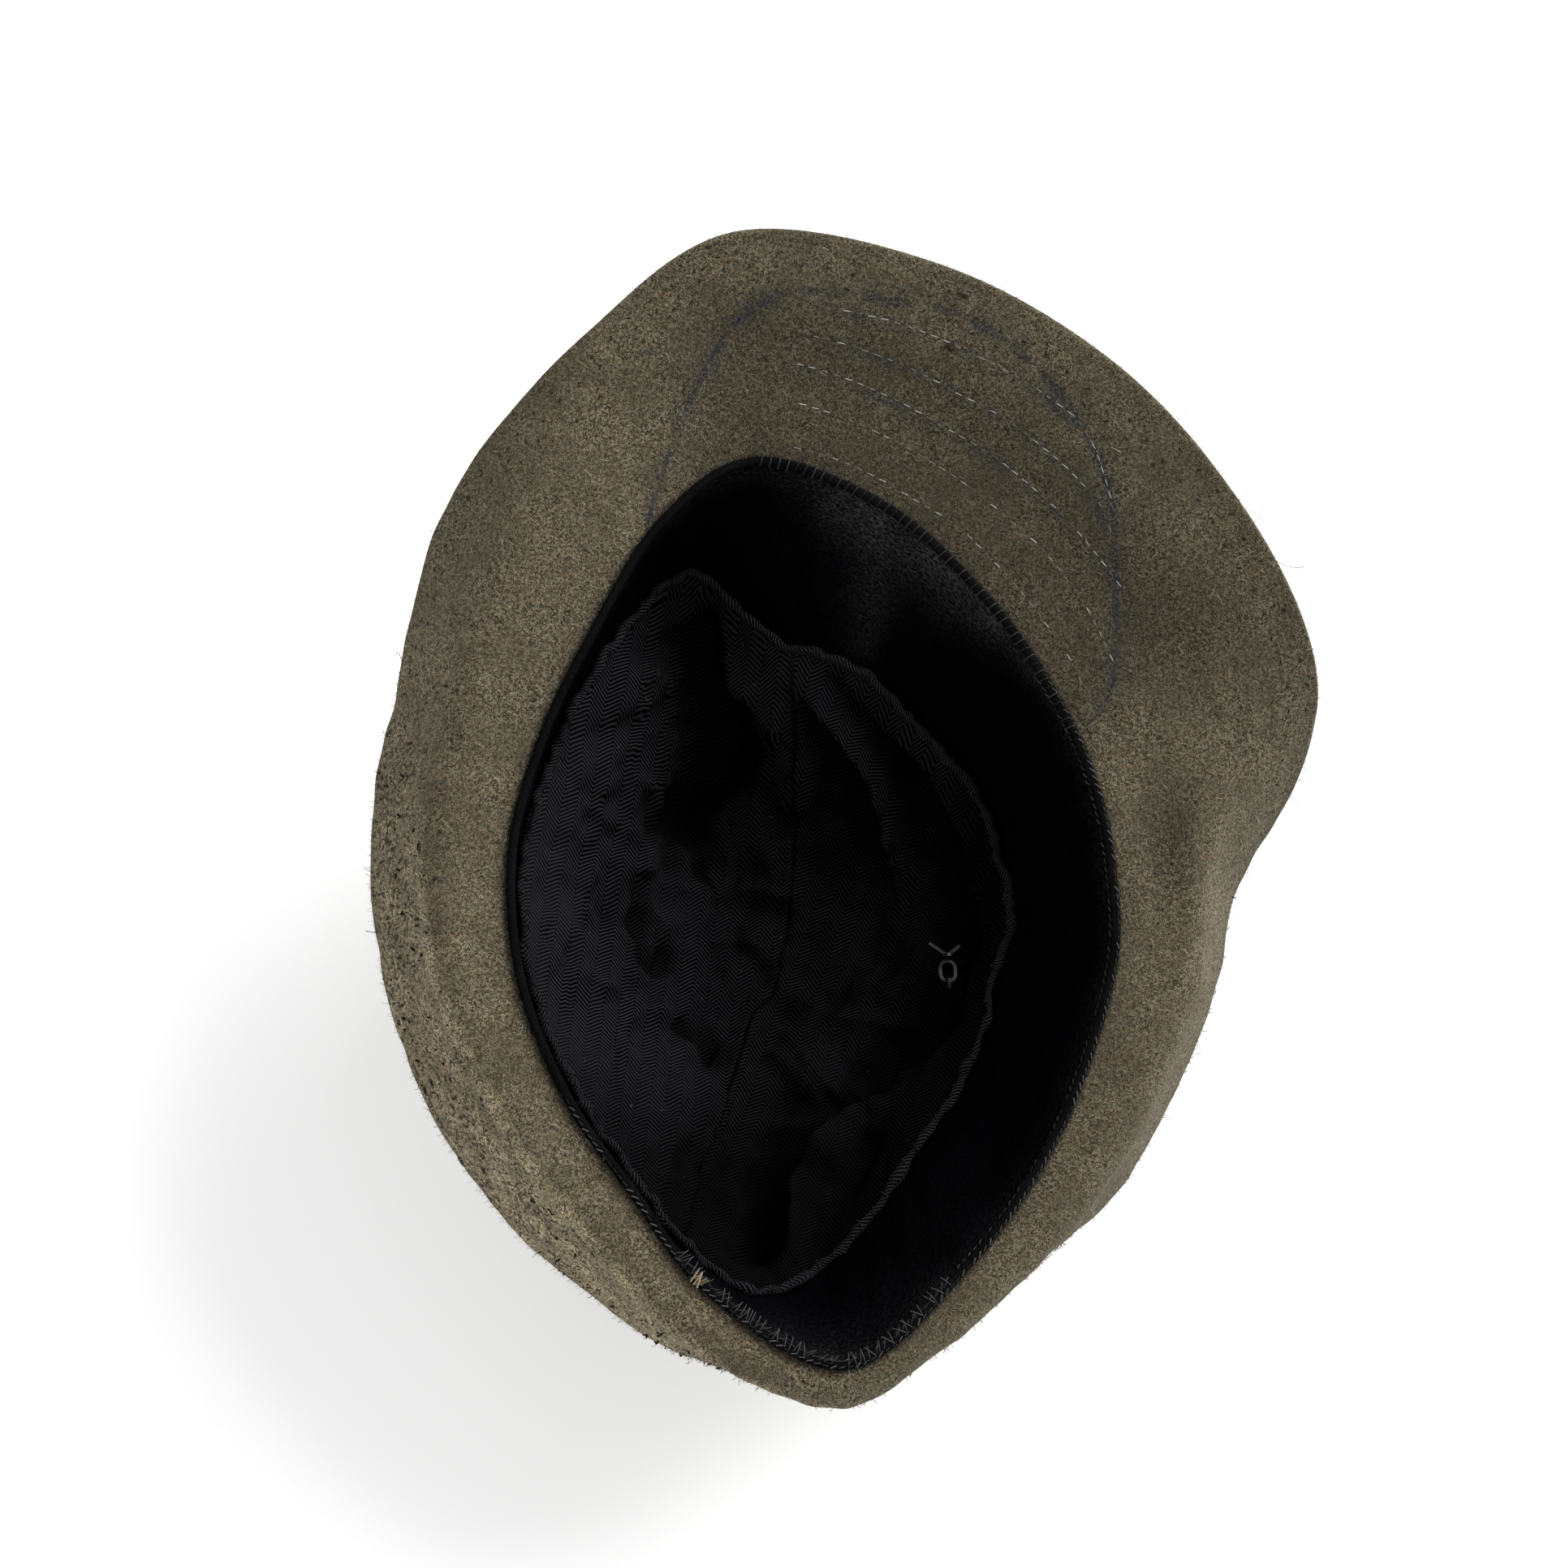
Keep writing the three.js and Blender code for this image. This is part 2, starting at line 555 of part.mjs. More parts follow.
const crownShell = bowl(crownInside, crownOutside, creaseMiddleInside, creaseMiddle);
const liningShell = bowl(liningFace, liningBack, liningCentre, liningCentreBack);
piece("brim", wall(brimTop, brimBelow), 0x6a6250, 1, 0);
piece("crown", cut(crownShell, hole), 0x665e4c, 1, 0);
piece("sweatband", wall(bandFace, bandBack), 0x101013, 0.5, 0);
piece("welt", solidOfRings(weltRings), 0x0b0b0d, 0.7, 0);
piece("lining", cut(liningShell, hole), 0x1c1b21, 0.95, 0);
piece("stud", join(head, shank, eye), 0x6d6e72, 0.35, 1);
piece("split_pin", splitPin, 0x8a8b8f, 0.25, 1);
piece("ring", ring, 0x8a8b8f, 0.25, 1);

// The origin is the middle of the hat's footprint, on the surface it lies on.
const box = new THREE.Box3().setFromObject(group);
const footprintMiddle = box.getCenter(new THREE.Vector3()).setZ(box.min.z);
for (const mesh of group.children) {
  mesh.geometry.translate(-footprintMiddle.x, -footprintMiddle.y, -footprintMiddle.z);
}

export default group;
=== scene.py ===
# Tyrolean hat of loden felt, upside down on its crown: the look of each piece, floor, light, camera.
import math

import bpy
import numpy as np
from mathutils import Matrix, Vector


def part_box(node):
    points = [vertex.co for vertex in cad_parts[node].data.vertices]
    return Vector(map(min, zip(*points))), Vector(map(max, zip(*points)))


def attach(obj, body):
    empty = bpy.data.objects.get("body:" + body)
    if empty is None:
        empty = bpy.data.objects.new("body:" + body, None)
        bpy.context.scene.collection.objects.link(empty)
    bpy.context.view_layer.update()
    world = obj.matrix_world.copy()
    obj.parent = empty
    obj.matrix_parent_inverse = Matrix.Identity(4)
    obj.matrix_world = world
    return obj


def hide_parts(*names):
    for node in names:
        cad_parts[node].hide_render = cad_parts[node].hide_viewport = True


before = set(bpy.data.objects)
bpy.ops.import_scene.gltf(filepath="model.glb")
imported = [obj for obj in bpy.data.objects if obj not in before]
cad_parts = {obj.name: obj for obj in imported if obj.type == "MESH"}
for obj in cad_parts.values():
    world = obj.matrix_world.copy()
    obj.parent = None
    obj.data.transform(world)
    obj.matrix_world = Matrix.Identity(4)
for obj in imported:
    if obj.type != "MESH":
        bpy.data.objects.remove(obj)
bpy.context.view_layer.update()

# Head opening and how the hat lies, in millimetres and degrees
OPENING_LENGTH = 218
OPENING_WIDTH = 145
OPENING_HEIGHT = 98
LEAN_BACK = 11
LEAN_RIGHT = 8

# Felt
BRIM_WIDTH = 60
BRIM_THICKNESS = 2.4
EDGE_ROUND = 0.8
CROWN_THICKNESS = 2.2
TIP_LENGTH = 146
TIP_WIDTH = 108
TIP_TO_LEFT = 30
TIP_TO_FRONT = 4
TIP_ROUND = 13
TIP_RIM = 9
CREASE_DEPTH = 22
CREASE_WIDTH = 0.1
CREASE_LENGTH = 0.55
WALL_DRAW = 42
WALL_FOLLOWS_SHARE = 0.7
WALL_STANDS_OUT = 4
SEAT_GAP = 0.3

# Sweatband, welt and lining
BAND_WIDTH = 46
BAND_THICKNESS = 1.2
WELT_RADIUS = 1.1
LINING_THICKNESS = 0.8
LINING_HEIGHT = 33
HEM_DEPTH = 9
HEM_RADIUS = 1.1
MIDDLE_SHIFT = 0.6
SAG_POWER = 2
FOLD_GAIN = 1.35
HERRINGBONE_WIDTH = 3.6

# The soft hollow in the brim on the wearer's right, and the crest along its left side where it turns over
DENT_TURN = 0.06
DENT_OUT = 13
DENT_DEPTH = 2.4
CREST_WIDTH = 1.5
CREST_HEIGHT = 0.8

# Points round the pieces, and rows of points across them
AROUND = 540
BRIM_ROWS = 60
EDGE_ROWS = 7
BAND_ROWS = 40
CROWN_AROUND = 360
CROWN_ROWS = 26
WELT_AROUND = 1000
WELT_SIDES = 12
LINING_AROUND = 440
LINING_ROWS = 104
HEM_ROWS = 7
HEM_SIDES = 10

# Points round the opening and round the welt in the CAD, which place the hat in the row frame
CAD_AROUND = 72
CAD_WELT_SIDES = 6

# Waves that add up to one rumple
RUMPLE_WAVES = 14

# Millimetres to one unit of the brim's layout, which its chalk marks read
LAYOUT_MM = 100

# Shape round the hat, anticlockwise from the wearer's right: the opening as shares of its half width
# and half length, the degrees that the band leans in, the brim's width, shelf and roll as shares of
# BRIM_WIDTH, and the degrees that the brim rises from the opening and turns down further out
SECTIONS = [
    dict(across=1.0, along=0.02, band=38, width=0.8, rise=6, shelf=0.21, roll=0.13, turn=78),
    dict(across=0.92, along=0.25, band=32, width=0.84, rise=4, shelf=0.26, roll=0.18, turn=62),
    dict(across=0.78, along=0.44, band=32, width=0.98, rise=6, shelf=0.4, roll=0.6, turn=0),
    dict(across=0.57, along=0.61, band=37, width=1.03, rise=8, shelf=0.3, roll=0.9, turn=-14),
    dict(across=0.28, along=0.77, band=46, width=1.04, rise=8, shelf=0.3, roll=0.9, turn=-14),
    dict(across=-0.1, along=0.9, band=58, width=0.97, rise=8, shelf=0.3, roll=0.9, turn=-14),
    dict(across=-0.55, along=0.92, band=52, width=0.89, rise=12, shelf=0.3, roll=0.9, turn=-10),
    dict(across=-0.8, along=0.73, band=15, width=0.79, rise=14, shelf=0.4, roll=0.6, turn=6),
    dict(across=-0.93, along=0.43, band=6, width=0.84, rise=12, shelf=0.38, roll=0.26, turn=40),
    dict(across=-0.99, along=0.2, band=4, width=0.82, rise=10, shelf=0.25, roll=0.16, turn=64),
    dict(across=-0.99, along=-0.05, band=6, width=0.8, rise=10, shelf=0.2, roll=0.14, turn=72),
    dict(across=-0.86, along=-0.31, band=5, width=0.8, rise=12, shelf=0.18, roll=0.13, turn=80),
    dict(across=-0.62, along=-0.53, band=8, width=0.79, rise=14, shelf=0.15, roll=0.13, turn=86),
    dict(across=-0.34, along=-0.69, band=8, width=0.78, rise=15, shelf=0.12, roll=0.12, turn=92),
    dict(across=0.0, along=-0.86, band=17, width=0.77, rise=16, shelf=0.08, roll=0.1, turn=106),
    dict(across=0.47, along=-0.93, band=45, width=0.75, rise=16, shelf=0.04, roll=0.08, turn=118),
    dict(across=0.77, along=-0.66, band=48, width=0.77, rise=14, shelf=0.06, roll=0.1, turn=110),
    dict(across=0.95, along=-0.34, band=39, width=0.79, rise=10, shelf=0.13, roll=0.12, turn=90),
]

# The lining's rolled edge: how far down the sweatband it lies, turn and mm
HEM_LINE = [(0, 36), (0.03, 34), (0.09, 36), (0.13, 35), (0.165, 36), (0.196, 37), (0.226, 38), (0.263, 38),
            (0.3, 42), (0.314, 45), (0.336, 42), (0.356, 34), (0.37, 28), (0.4, 28), (0.415, 25), (0.44, 16),
            (0.476, 12), (0.5, 14), (0.532, 10), (0.564, 8), (0.59, 3), (0.65, 3), (0.7, 3), (0.74, 5),
            (0.765, 14), (0.789, 14), (0.806, 22), (0.829, 33), (0.857, 34), (0.879, 34), (0.946, 35),
            (0.975, 33), (1, 36)]

# Folds of the lining: a line in shares of the opening's half sizes, half widths on the left and right
# of the way it runs, and a height that is below zero for a valley, in mm
FOLDS = [
    dict(path=[(-0.58, 0.65), (-0.52, 0.59), (-0.46, 0.5), (-0.37, 0.41), (-0.34, 0.33), (-0.39, 0.23),
               (-0.33, 0.14)], left=2.2, right=8, height=-7),
    dict(path=[(-0.41, 0.45), (-0.32, 0.38), (-0.35, 0.31)], left=4, right=4, height=-4),
    dict(path=[(-0.51, 0.64), (-0.42, 0.55), (-0.32, 0.48), (-0.24, 0.43)], left=8, right=2.5, height=4),
    dict(path=[(-0.2, 0.49), (-0.07, 0.43), (0.06, 0.37), (0.15, 0.3), (0.26, 0.2)], left=1.5, right=6,
         height=-5.5),
    dict(path=[(-0.19, 0.52), (-0.03, 0.45), (0.12, 0.39), (0.22, 0.3), (0.28, 0.22)], left=3, right=2,
         height=5.5),
    dict(path=[(-0.14, 0.56), (-0.01, 0.5), (0.16, 0.43), (0.26, 0.35), (0.35, 0.25)], left=2.2, right=3.5,
         height=-6),
    dict(path=[(-0.08, 0.57), (0.08, 0.53), (0.26, 0.47), (0.41, 0.38), (0.53, 0.31), (0.62, 0.19)], left=3.5,
         right=3.5, height=4.5),
    dict(path=[(0.16, 0.45), (0.27, 0.39), (0.38, 0.31), (0.46, 0.23), (0.52, 0.12), (0.57, 0.03)], left=2.5,
         right=4, height=-6),
    dict(path=[(0.27, 0.32), (0.38, 0.24), (0.45, 0.15)], left=4, right=4, height=2),
    dict(path=[(0.53, 0.11), (0.58, 0.03), (0.59, -0.04)], left=5, right=5, height=-5),
    dict(path=[(0.66, 0), (0.64, -0.08), (0.58, -0.2), (0.52, -0.34), (0.49, -0.46)], left=6, right=2.6,
         height=4.5),
    dict(path=[(0.61, -0.07), (0.53, -0.16), (0.44, -0.22), (0.36, -0.32)], left=2, right=8, height=-6),
    dict(path=[(0.47, 0), (0.32, -0.11), (0.19, -0.2), (0.1, -0.27)], left=8, right=5, height=2.5),
    dict(path=[(0.34, -0.34), (0.29, -0.42), (0.24, -0.52), (0.23, -0.64), (0.23, -0.75)], left=7, right=1.8,
         height=4.5),
    dict(path=[(0.32, -0.34), (0.24, -0.41), (0.2, -0.51), (0.17, -0.62), (0.17, -0.75)], left=1.8, right=9,
         height=-5.5),
    dict(path=[(0.38, -0.39), (0.4, -0.48), (0.37, -0.59), (0.33, -0.72)], left=4, right=4, height=-3),
    dict(path=[(-0.06, -0.39), (-0.07, -0.46), (-0.11, -0.54)], left=1, right=3.5, height=1.8),
    dict(path=[(-0.15, -0.51), (-0.18, -0.59), (-0.2, -0.68)], left=2, right=2, height=-2.2),
    dict(path=[(-0.52, 0), (-0.46, -0.11), (-0.39, -0.14), (-0.37, -0.07)], left=3, right=3, height=-3.5),
    dict(path=[(-0.3, -0.23), (-0.21, -0.27), (-0.12, -0.29)], left=4.5, right=4, height=-4),
    dict(path=[(-0.27, 0.04), (-0.09, -0.03), (-0.01, -0.08)], left=6, right=6, height=2.5),
    dict(path=[(-0.55, -0.38), (-0.36, -0.41), (-0.18, -0.44)], left=8, right=8, height=2.5),
    dict(path=[(-0.73, 0.51), (-0.8, 0.3), (-0.81, 0.09)], left=12, right=10, height=2),
    dict(path=[(-0.89, 0.25), (-0.78, 0.32), (-0.62, 0.4)], left=2, right=3, height=-1.3),
    dict(path=[(-0.88, 0.14), (-0.74, 0.17), (-0.57, 0.15)], left=3, right=2, height=-1.2),
    dict(path=[(-0.67, 0.25), (-0.54, 0.24), (-0.45, 0.21)], left=3, right=2, height=1.5),
    dict(path=[(-0.84, 0.42), (-0.72, 0.47), (-0.6, 0.5)], left=3, right=4, height=2),
    dict(path=[(-0.7, -0.02), (-0.6, 0.05), (-0.48, 0.08)], left=4, right=4, height=1.8),
    dict(path=[(-0.62, -0.22), (-0.48, -0.27), (-0.33, -0.24)], left=4, right=3, height=2.2),
    dict(path=[(-0.2, 0.28), (-0.1, 0.25), (0.02, 0.24)], left=2.5, right=3, height=-1.6),
    dict(path=[(-0.22, 0.12), (-0.1, 0.1), (0.0, 0.12)], left=3, right=3, height=1.6),
]
SEAM = [(-0.24, 0.55), (-0.2, 0.47), (-0.14, 0.35), (-0.06, 0.2), (-0.02, 0.08), (0, -0.01), (0, -0.12),
        (-0.05, -0.18), (-0.06, -0.25), (-0.07, -0.34), (-0.08, -0.42)]

DEGREE = math.pi / 180

# The leaning frame of the hat
lean_back = LEAN_BACK * DEGREE
lean_right = LEAN_RIGHT * DEGREE
UP = np.array(
    [
        math.sin(lean_right) * math.cos(lean_back),
        -math.sin(lean_back),
        math.cos(lean_right) * math.cos(lean_back),
    ]
)
UP /= np.linalg.norm(UP)
RIGHT = np.cross([0, 1, 0], UP)
RIGHT /= np.linalg.norm(RIGHT)
FRONT = np.cross(UP, RIGHT)


def unit(vectors):
    return vectors / np.maximum(np.linalg.norm(vectors, axis=-1, keepdims=True), 1e-9)


def lay(x, y, h):
    """Points of the hat's own frame, placed where the hat lies."""
    x, y, h = np.broadcast_arrays(x, y, h)
    base = np.array([0, 0, OPENING_HEIGHT])
    return base + x[..., None] * RIGHT + y[..., None] * FRONT + h[..., None] * UP


def curve_through(a, b, c, d, f):
    """A smooth curve through four values, read at the share f of the way from the second to the third."""
    return b + 0.5 * f * (c - a + f * (2 * a - 5 * b + 4 * c - d + f * (3 * (b - c) + d - a)))


def column(name, turn):
    """One value of SECTIONS at any turn, smoothly between its rows."""
    values = np.array([row[name] for row in SECTIONS], float)
    count = len(values)
    place = np.mod(np.asarray(turn, float), 1) * count
    row = np.floor(place).astype(int)
    a, b, c, d = (values[(row + k) % count] for k in (-1, 0, 1, 2))
    return curve_through(a, b, c, d, place - row)


def opening(turn):
    across = column("across", turn) * OPENING_WIDTH / 2
    along = column("along", turn) * OPENING_LENGTH / 2
    return np.stack([across, along], -1)


def opening_offset(turn, distance):
    step = 0.5 / CAD_AROUND
    tangent = unit(opening(turn + step) - opening(turn - step))
    side = np.stack([tangent[..., 1], -tangent[..., 0]], -1)
    return opening(turn) + side * np.asarray(distance, float)[..., None]


def grid_normals(grid):
    along = np.concatenate([grid[1:2] - grid[:1], grid[2:] - grid[:-2], grid[-1:] - grid[-2:-1]])
    around = np.roll(grid, -1, 1) - np.roll(grid, 1, 1)
    return unit(np.cross(around, along))


def smoothstep(x, low, high):
    t = np.clip((x - low) / (high - low), 0, 1)
    return t * t * (3 - 2 * t)


def rumple(points, wavelength, seed):
    """Smooth uneven heights, about -1 to 1, over points in mm."""
    rng = np.random.default_rng(seed)
    total = np.zeros(points.shape[:-1])
    for _ in range(RUMPLE_WAVES):
        heading = unit(rng.normal(size=points.shape[-1]))
        length = wavelength * rng.uniform(0.7, 1.5)
        total += np.sin(points @ heading * (2 * math.pi / length) + rng.uniform(0, 2 * math.pi))
    return total / math.sqrt(RUMPLE_WAVES)


# Where the hat's frame stands in the row frame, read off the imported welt
def welt_rings(turn, sides, radius):
    rings = []
    for i in range(sides):
        angle = (i + 0.5) / sides * 2 * math.pi
        p = opening_offset(turn, -WELT_RADIUS + radius * math.cos(angle))
        rings.append(lay(p[..., 0], p[..., 1], WELT_RADIUS + SEAT_GAP + radius * math.sin(angle)))
    return np.array(rings)


coarse_welt = welt_rings(np.arange(CAD_AROUND) / CAD_AROUND, CAD_WELT_SIDES, WELT_RADIUS)
packed_low = np.array(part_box("welt")[0]) * 1000
OFFSET = packed_low - coarse_welt.reshape(-1, 3).min(0)


def metres(points):
    return (np.asarray(points) + OFFSET) / 1000


# Surfaces
def brim_length(turn):
    return column("width", turn) * BRIM_WIDTH


def brim_place(turn, distance):
    """Points on the brim's upper face, a distance out from the opening."""
    start = opening(turn)
    heading = unit(start)
    shelf = column("shelf", turn) * BRIM_WIDTH
    down = column("turn", turn) * DEGREE
    rise = column("rise", turn) * DEGREE
    radius = column("roll", turn) * BRIM_WIDTH
    bend = np.minimum(radius * np.abs(down), brim_length(turn) - shelf)
    curve = np.where(down < 0, -1, 1) / radius
    on_shelf = np.minimum(distance, shelf)
    on_bend = np.clip(distance - shelf, 0, bend)
    on_outer = np.maximum(distance - shelf - bend, 0)
    slope = rise - curve * on_bend
    out = on_shelf * np.cos(rise) + (np.sin(rise) - np.sin(slope)) / curve + on_outer * np.cos(slope)
    up = on_shelf * np.sin(rise) + (np.cos(slope) - np.cos(rise)) / curve + on_outer * np.sin(slope)
    return lay(start[..., 0] + heading[..., 0] * out, start[..., 1] + heading[..., 1] * out, up)


def band_place(turn, distance):
    """Points on the sweatband's face, a distance down from its edge."""
    edge = opening_offset(turn, -SEAT_GAP - BAND_THICKNESS + np.zeros_like(turn))
    inwards = -unit(opening(turn))
    lean = column("band", turn) * DEGREE
    reach = distance * np.sin(lean)
    return lay(edge[..., 0] + inwards[..., 0] * reach, edge[..., 1] + inwards[..., 1] * reach,
               -distance * np.cos(lean))


def tip_place(heading, across, along, inset, height):
    half_width = TIP_WIDTH / 2 - inset
    half_length = TIP_LENGTH / 2 - inset
    x = np.cos(heading) * half_width * across - TIP_TO_LEFT
    y = np.sin(heading) * half_length * along + TIP_TO_FRONT
    return np.stack([x, y, height + np.zeros_like(x)], -1)


def wall_place(turn, share):
    """Points on the crown's outside, from the opening to the shoulder of the tip."""
    edge = opening_offset(turn, CROWN_THICKNESS + np.zeros_like(turn))
    outwards = unit(opening(turn))
    heading = np.arctan2(outwards[..., 1], outwards[..., 0])
    lean = (column("band", turn) * WALL_FOLLOWS_SHARE - WALL_STANDS_OUT) * DEGREE
    drop = -BRIM_THICKNESS - 2 * SEAT_GAP - CROWN_THICKNESS * np.maximum(np.sin(lean), 0)
    reach = WALL_DRAW * np.sin(lean)
    start = lay(edge[..., 0], edge[..., 1], drop)
    leaving = lay(edge[..., 0] - outwards[..., 0] * reach, edge[..., 1] - outwards[..., 1] * reach,
                  drop - WALL_DRAW * np.cos(lean))
    shoulder = tip_place(heading, 1, 1, 0, TIP_ROUND)
    arriving = shoulder + [0, 0, WALL_DRAW / 2]
    s = np.asarray(share)[..., None]
    return ((1 - s) ** 3 * start + 3 * (1 - s) ** 2 * s * leaving
            + 3 * (1 - s) * s**2 * arriving + s**3 * shoulder)


# Meshes
def make_object(name, points, faces, material, uv=None, values=None):
    mesh = bpy.data.meshes.new(name)
    mesh.from_pydata(metres(points).tolist(), [], faces)
    mesh.polygons.foreach_set("use_smooth", [True] * len(mesh.polygons))
    if uv is not None:
        layer = mesh.uv_layers.new(name="layout")
        layer.data.foreach_set("uv", np.asarray(uv, np.float32).ravel())
    for key, data in (values or {}).items():
        stored = mesh.attributes.new(key, "FLOAT", "POINT")
        stored.data.foreach_set("value", np.asarray(data, np.float32).ravel())
    mesh.materials.append(material)
    mesh.update()
    shown = bpy.data.objects.new(name, mesh)
    bpy.context.scene.collection.objects.link(shown)
    return shown


def ring_mesh(name, rings, material, uv=None, middles=None, values=None):
    """A solid from rings of points: closed last to first, or closed by two middle points."""
    count, around = rings.shape[:2]
    points = rings.reshape(-1, 3)
    bands = count if middles is None else count - 1
    i, j = (grid.ravel() for grid in np.meshgrid(np.arange(bands), np.arange(around), indexing="ij"))
    above, beside = (i + 1) % count, (j + 1) % around
    quads = np.stack([i * around + j, i * around + beside, above * around + beside, above * around + j], -1)
    corners = None
    if uv is not None:
        corners = np.stack([uv[i, j], uv[i, j + 1], uv[above, j + 1], uv[above, j]], 1)
    a, b, c, d = (points[quads[:, n]] for n in range(4))
    volume = (a * np.cross(b, c)).sum() + (a * np.cross(c, d)).sum()
    flip = volume < 0
    if flip:
        quads = quads[:, ::-1]
        corners = None if corners is None else corners[:, ::-1]
    faces = quads.tolist()
    if middles is not None:
        points = np.concatenate([points, np.asarray(middles, float)])
        first, last, end = count * around, count * around + 1, (count - 1) * around
        for n in range(around):
            m = (n + 1) % around
            fans = [[first, m, n], [last, end + n, end + m]]
            faces += [fan[::-1] for fan in fans] if flip else fans
        if uv is not None:
            extra = np.concatenate([np.array([[uv[0, n]] * 3 + [uv[-1, n]] * 3]) for n in range(around)])
            corners = np.concatenate([corners.reshape(-1, 2), extra.reshape(-1, 2)])
    if values is not None:
        pad = len(points) - count * around
        values = {key: np.concatenate([np.ravel(v), np.zeros(pad)]) for key, v in values.items()}
    return make_object(name, points, faces, material, corners, values)


def tube_rings(path, radius, sides):
    """Rings round a closed path, carried along it without twist."""
    tangent = unit(np.roll(path, -1, 0) - np.roll(path, 1, 0))
    # Any direction that the path doesn't start in
    side = unit(np.cross(tangent[0], [0.31, 0.17, 0.93]))
    sides_out = []
    for t in tangent:
        side = unit(side - t * (side @ t))
        sides_out.append(side)
    side = np.array(sides_out)
    other = np.cross(tangent, side)
    radius = np.broadcast_to(radius, len(path))[:, None, None]
    angle = np.arange(sides) / sides * 2 * math.pi
    spoke = np.cos(angle)[None, :, None] * side[:, None] + np.sin(angle)[None, :, None] * other[:, None]
    return path[:, None] + radius * spoke


# Node helpers
def node(tree, kind, inputs=None, **settings):
    made = tree.nodes.new(kind)
    for key, value in settings.items():
        setattr(made, key, value)
    for key, value in (inputs or {}).items():
        if isinstance(value, bpy.types.NodeSocket):
            tree.links.new(value, made.inputs[key])
        else:
            made.inputs[key].default_value = value
    return made


def math_node(tree, operation, a, b=0.0, clamp=False):
    return node(tree, "ShaderNodeMath", {0: a, 1: b}, operation=operation, use_clamp=clamp).outputs[0]


def weighted_sum(tree, *parts):
    """The sum of node values, each times its weight."""
    total = None
    for value, weight in parts:
        part = math_node(tree, "MULTIPLY", value, weight)
        total = part if total is None else math_node(tree, "ADD", total, part)
    return total


def ramp(tree, value, *stops):
    made = node(tree, "ShaderNodeValToRGB", {"Fac": value})
    elements = made.color_ramp.elements
    while len(elements) < len(stops):
        elements.new(0.5)
    for element, (position, color) in zip(elements, stops):
        element.position = position
        element.color = (*color, 1)
    return made.outputs["Color"]


def span(tree, value, low, high, to_low=0.0, to_high=1.0):
    inputs = {"Value": value, "From Min": low, "From Max": high, "To Min": to_low, "To Max": to_high}
    return node(tree, "ShaderNodeMapRange", inputs, clamp=True).outputs["Result"]


def mix(tree, share, a, b, blend="MIX"):
    made = node(tree, "ShaderNodeMix", None, data_type="RGBA", blend_type=blend)
    for socket, value in ((made.inputs[0], share), (made.inputs[6], a), (made.inputs[7], b)):
        if isinstance(value, bpy.types.NodeSocket):
            tree.links.new(value, socket)
        elif isinstance(value, tuple):
            socket.default_value = (*value, 1)
        else:
            socket.default_value = value
    return made.outputs[2]


def tinted(tree, share, color, factors):
    """A colour, moved by a share towards itself times the factors."""
    return mix(tree, share, color, mix(tree, 1.0, color, factors, "MULTIPLY"))


def shaded(color, factor):
    return tuple(factor * c for c in color)


def noise(tree, vector, scale, detail=2.0, roughness=0.5, distortion=0.0):
    inputs = {"Vector": vector, "Scale": scale, "Detail": detail, "Roughness": roughness,
              "Distortion": distortion}
    return node(tree, "ShaderNodeTexNoise", inputs).outputs["Fac"]


def stretched(tree, vector, scale, turned=(0, 0, 0)):
    inputs = {"Vector": vector, "Rotation": turned, "Scale": scale}
    return node(tree, "ShaderNodeMapping", inputs).outputs["Vector"]


def new_material(name):
    made = bpy.data.materials.new(name)
    made.use_nodes = True
    tree = made.node_tree
    tree.nodes.clear()
    shader = node(tree, "ShaderNodeBsdfPrincipled")
    node(tree, "ShaderNodeOutputMaterial", {"Surface": shader.outputs[0]})
    return made, tree, shader


def bump(tree, shader, height, distance, strength=1.0):
    made = node(tree, "ShaderNodeBump", {"Height": height, "Distance": distance, "Strength": strength})
    tree.links.new(made.outputs[0], shader.inputs["Normal"])


def object_place(tree):
    return node(tree, "ShaderNodeTexCoord").outputs["Object"]


def layout_place(tree):
    return node(tree, "ShaderNodeUVMap", None, uv_map="layout").outputs["UV"]


def attribute(tree, name):
    return node(tree, "ShaderNodeAttribute", None, attribute_name=name).outputs["Fac"]


# Colours that several materials share
# Darkens the felt: painted shade in the dent and in grazing light, plain darkening elsewhere
SHADE_AND_DARKENING_TINT = (0.42, 0.42, 0.42)
# Lightens the felt: painted light and a painted highlight, with some fading
FADE_AND_PAINTED_LIGHT_TINT = (3.2, 3.15, 3.1)
CHALK_BLUE = (0.014, 0.021, 0.038)
PIT_BROWN = (0.022, 0.015, 0.009)
# Grey on raised leather grain: painted sheen, with some rub wear
RUB_AND_SHEEN_GREY = (0.05, 0.05, 0.052)
# Near black for painted shade in the lining's folds, and for its seam line
FOLD_SHADE_BLACK = (0.0003, 0.0003, 0.0004)


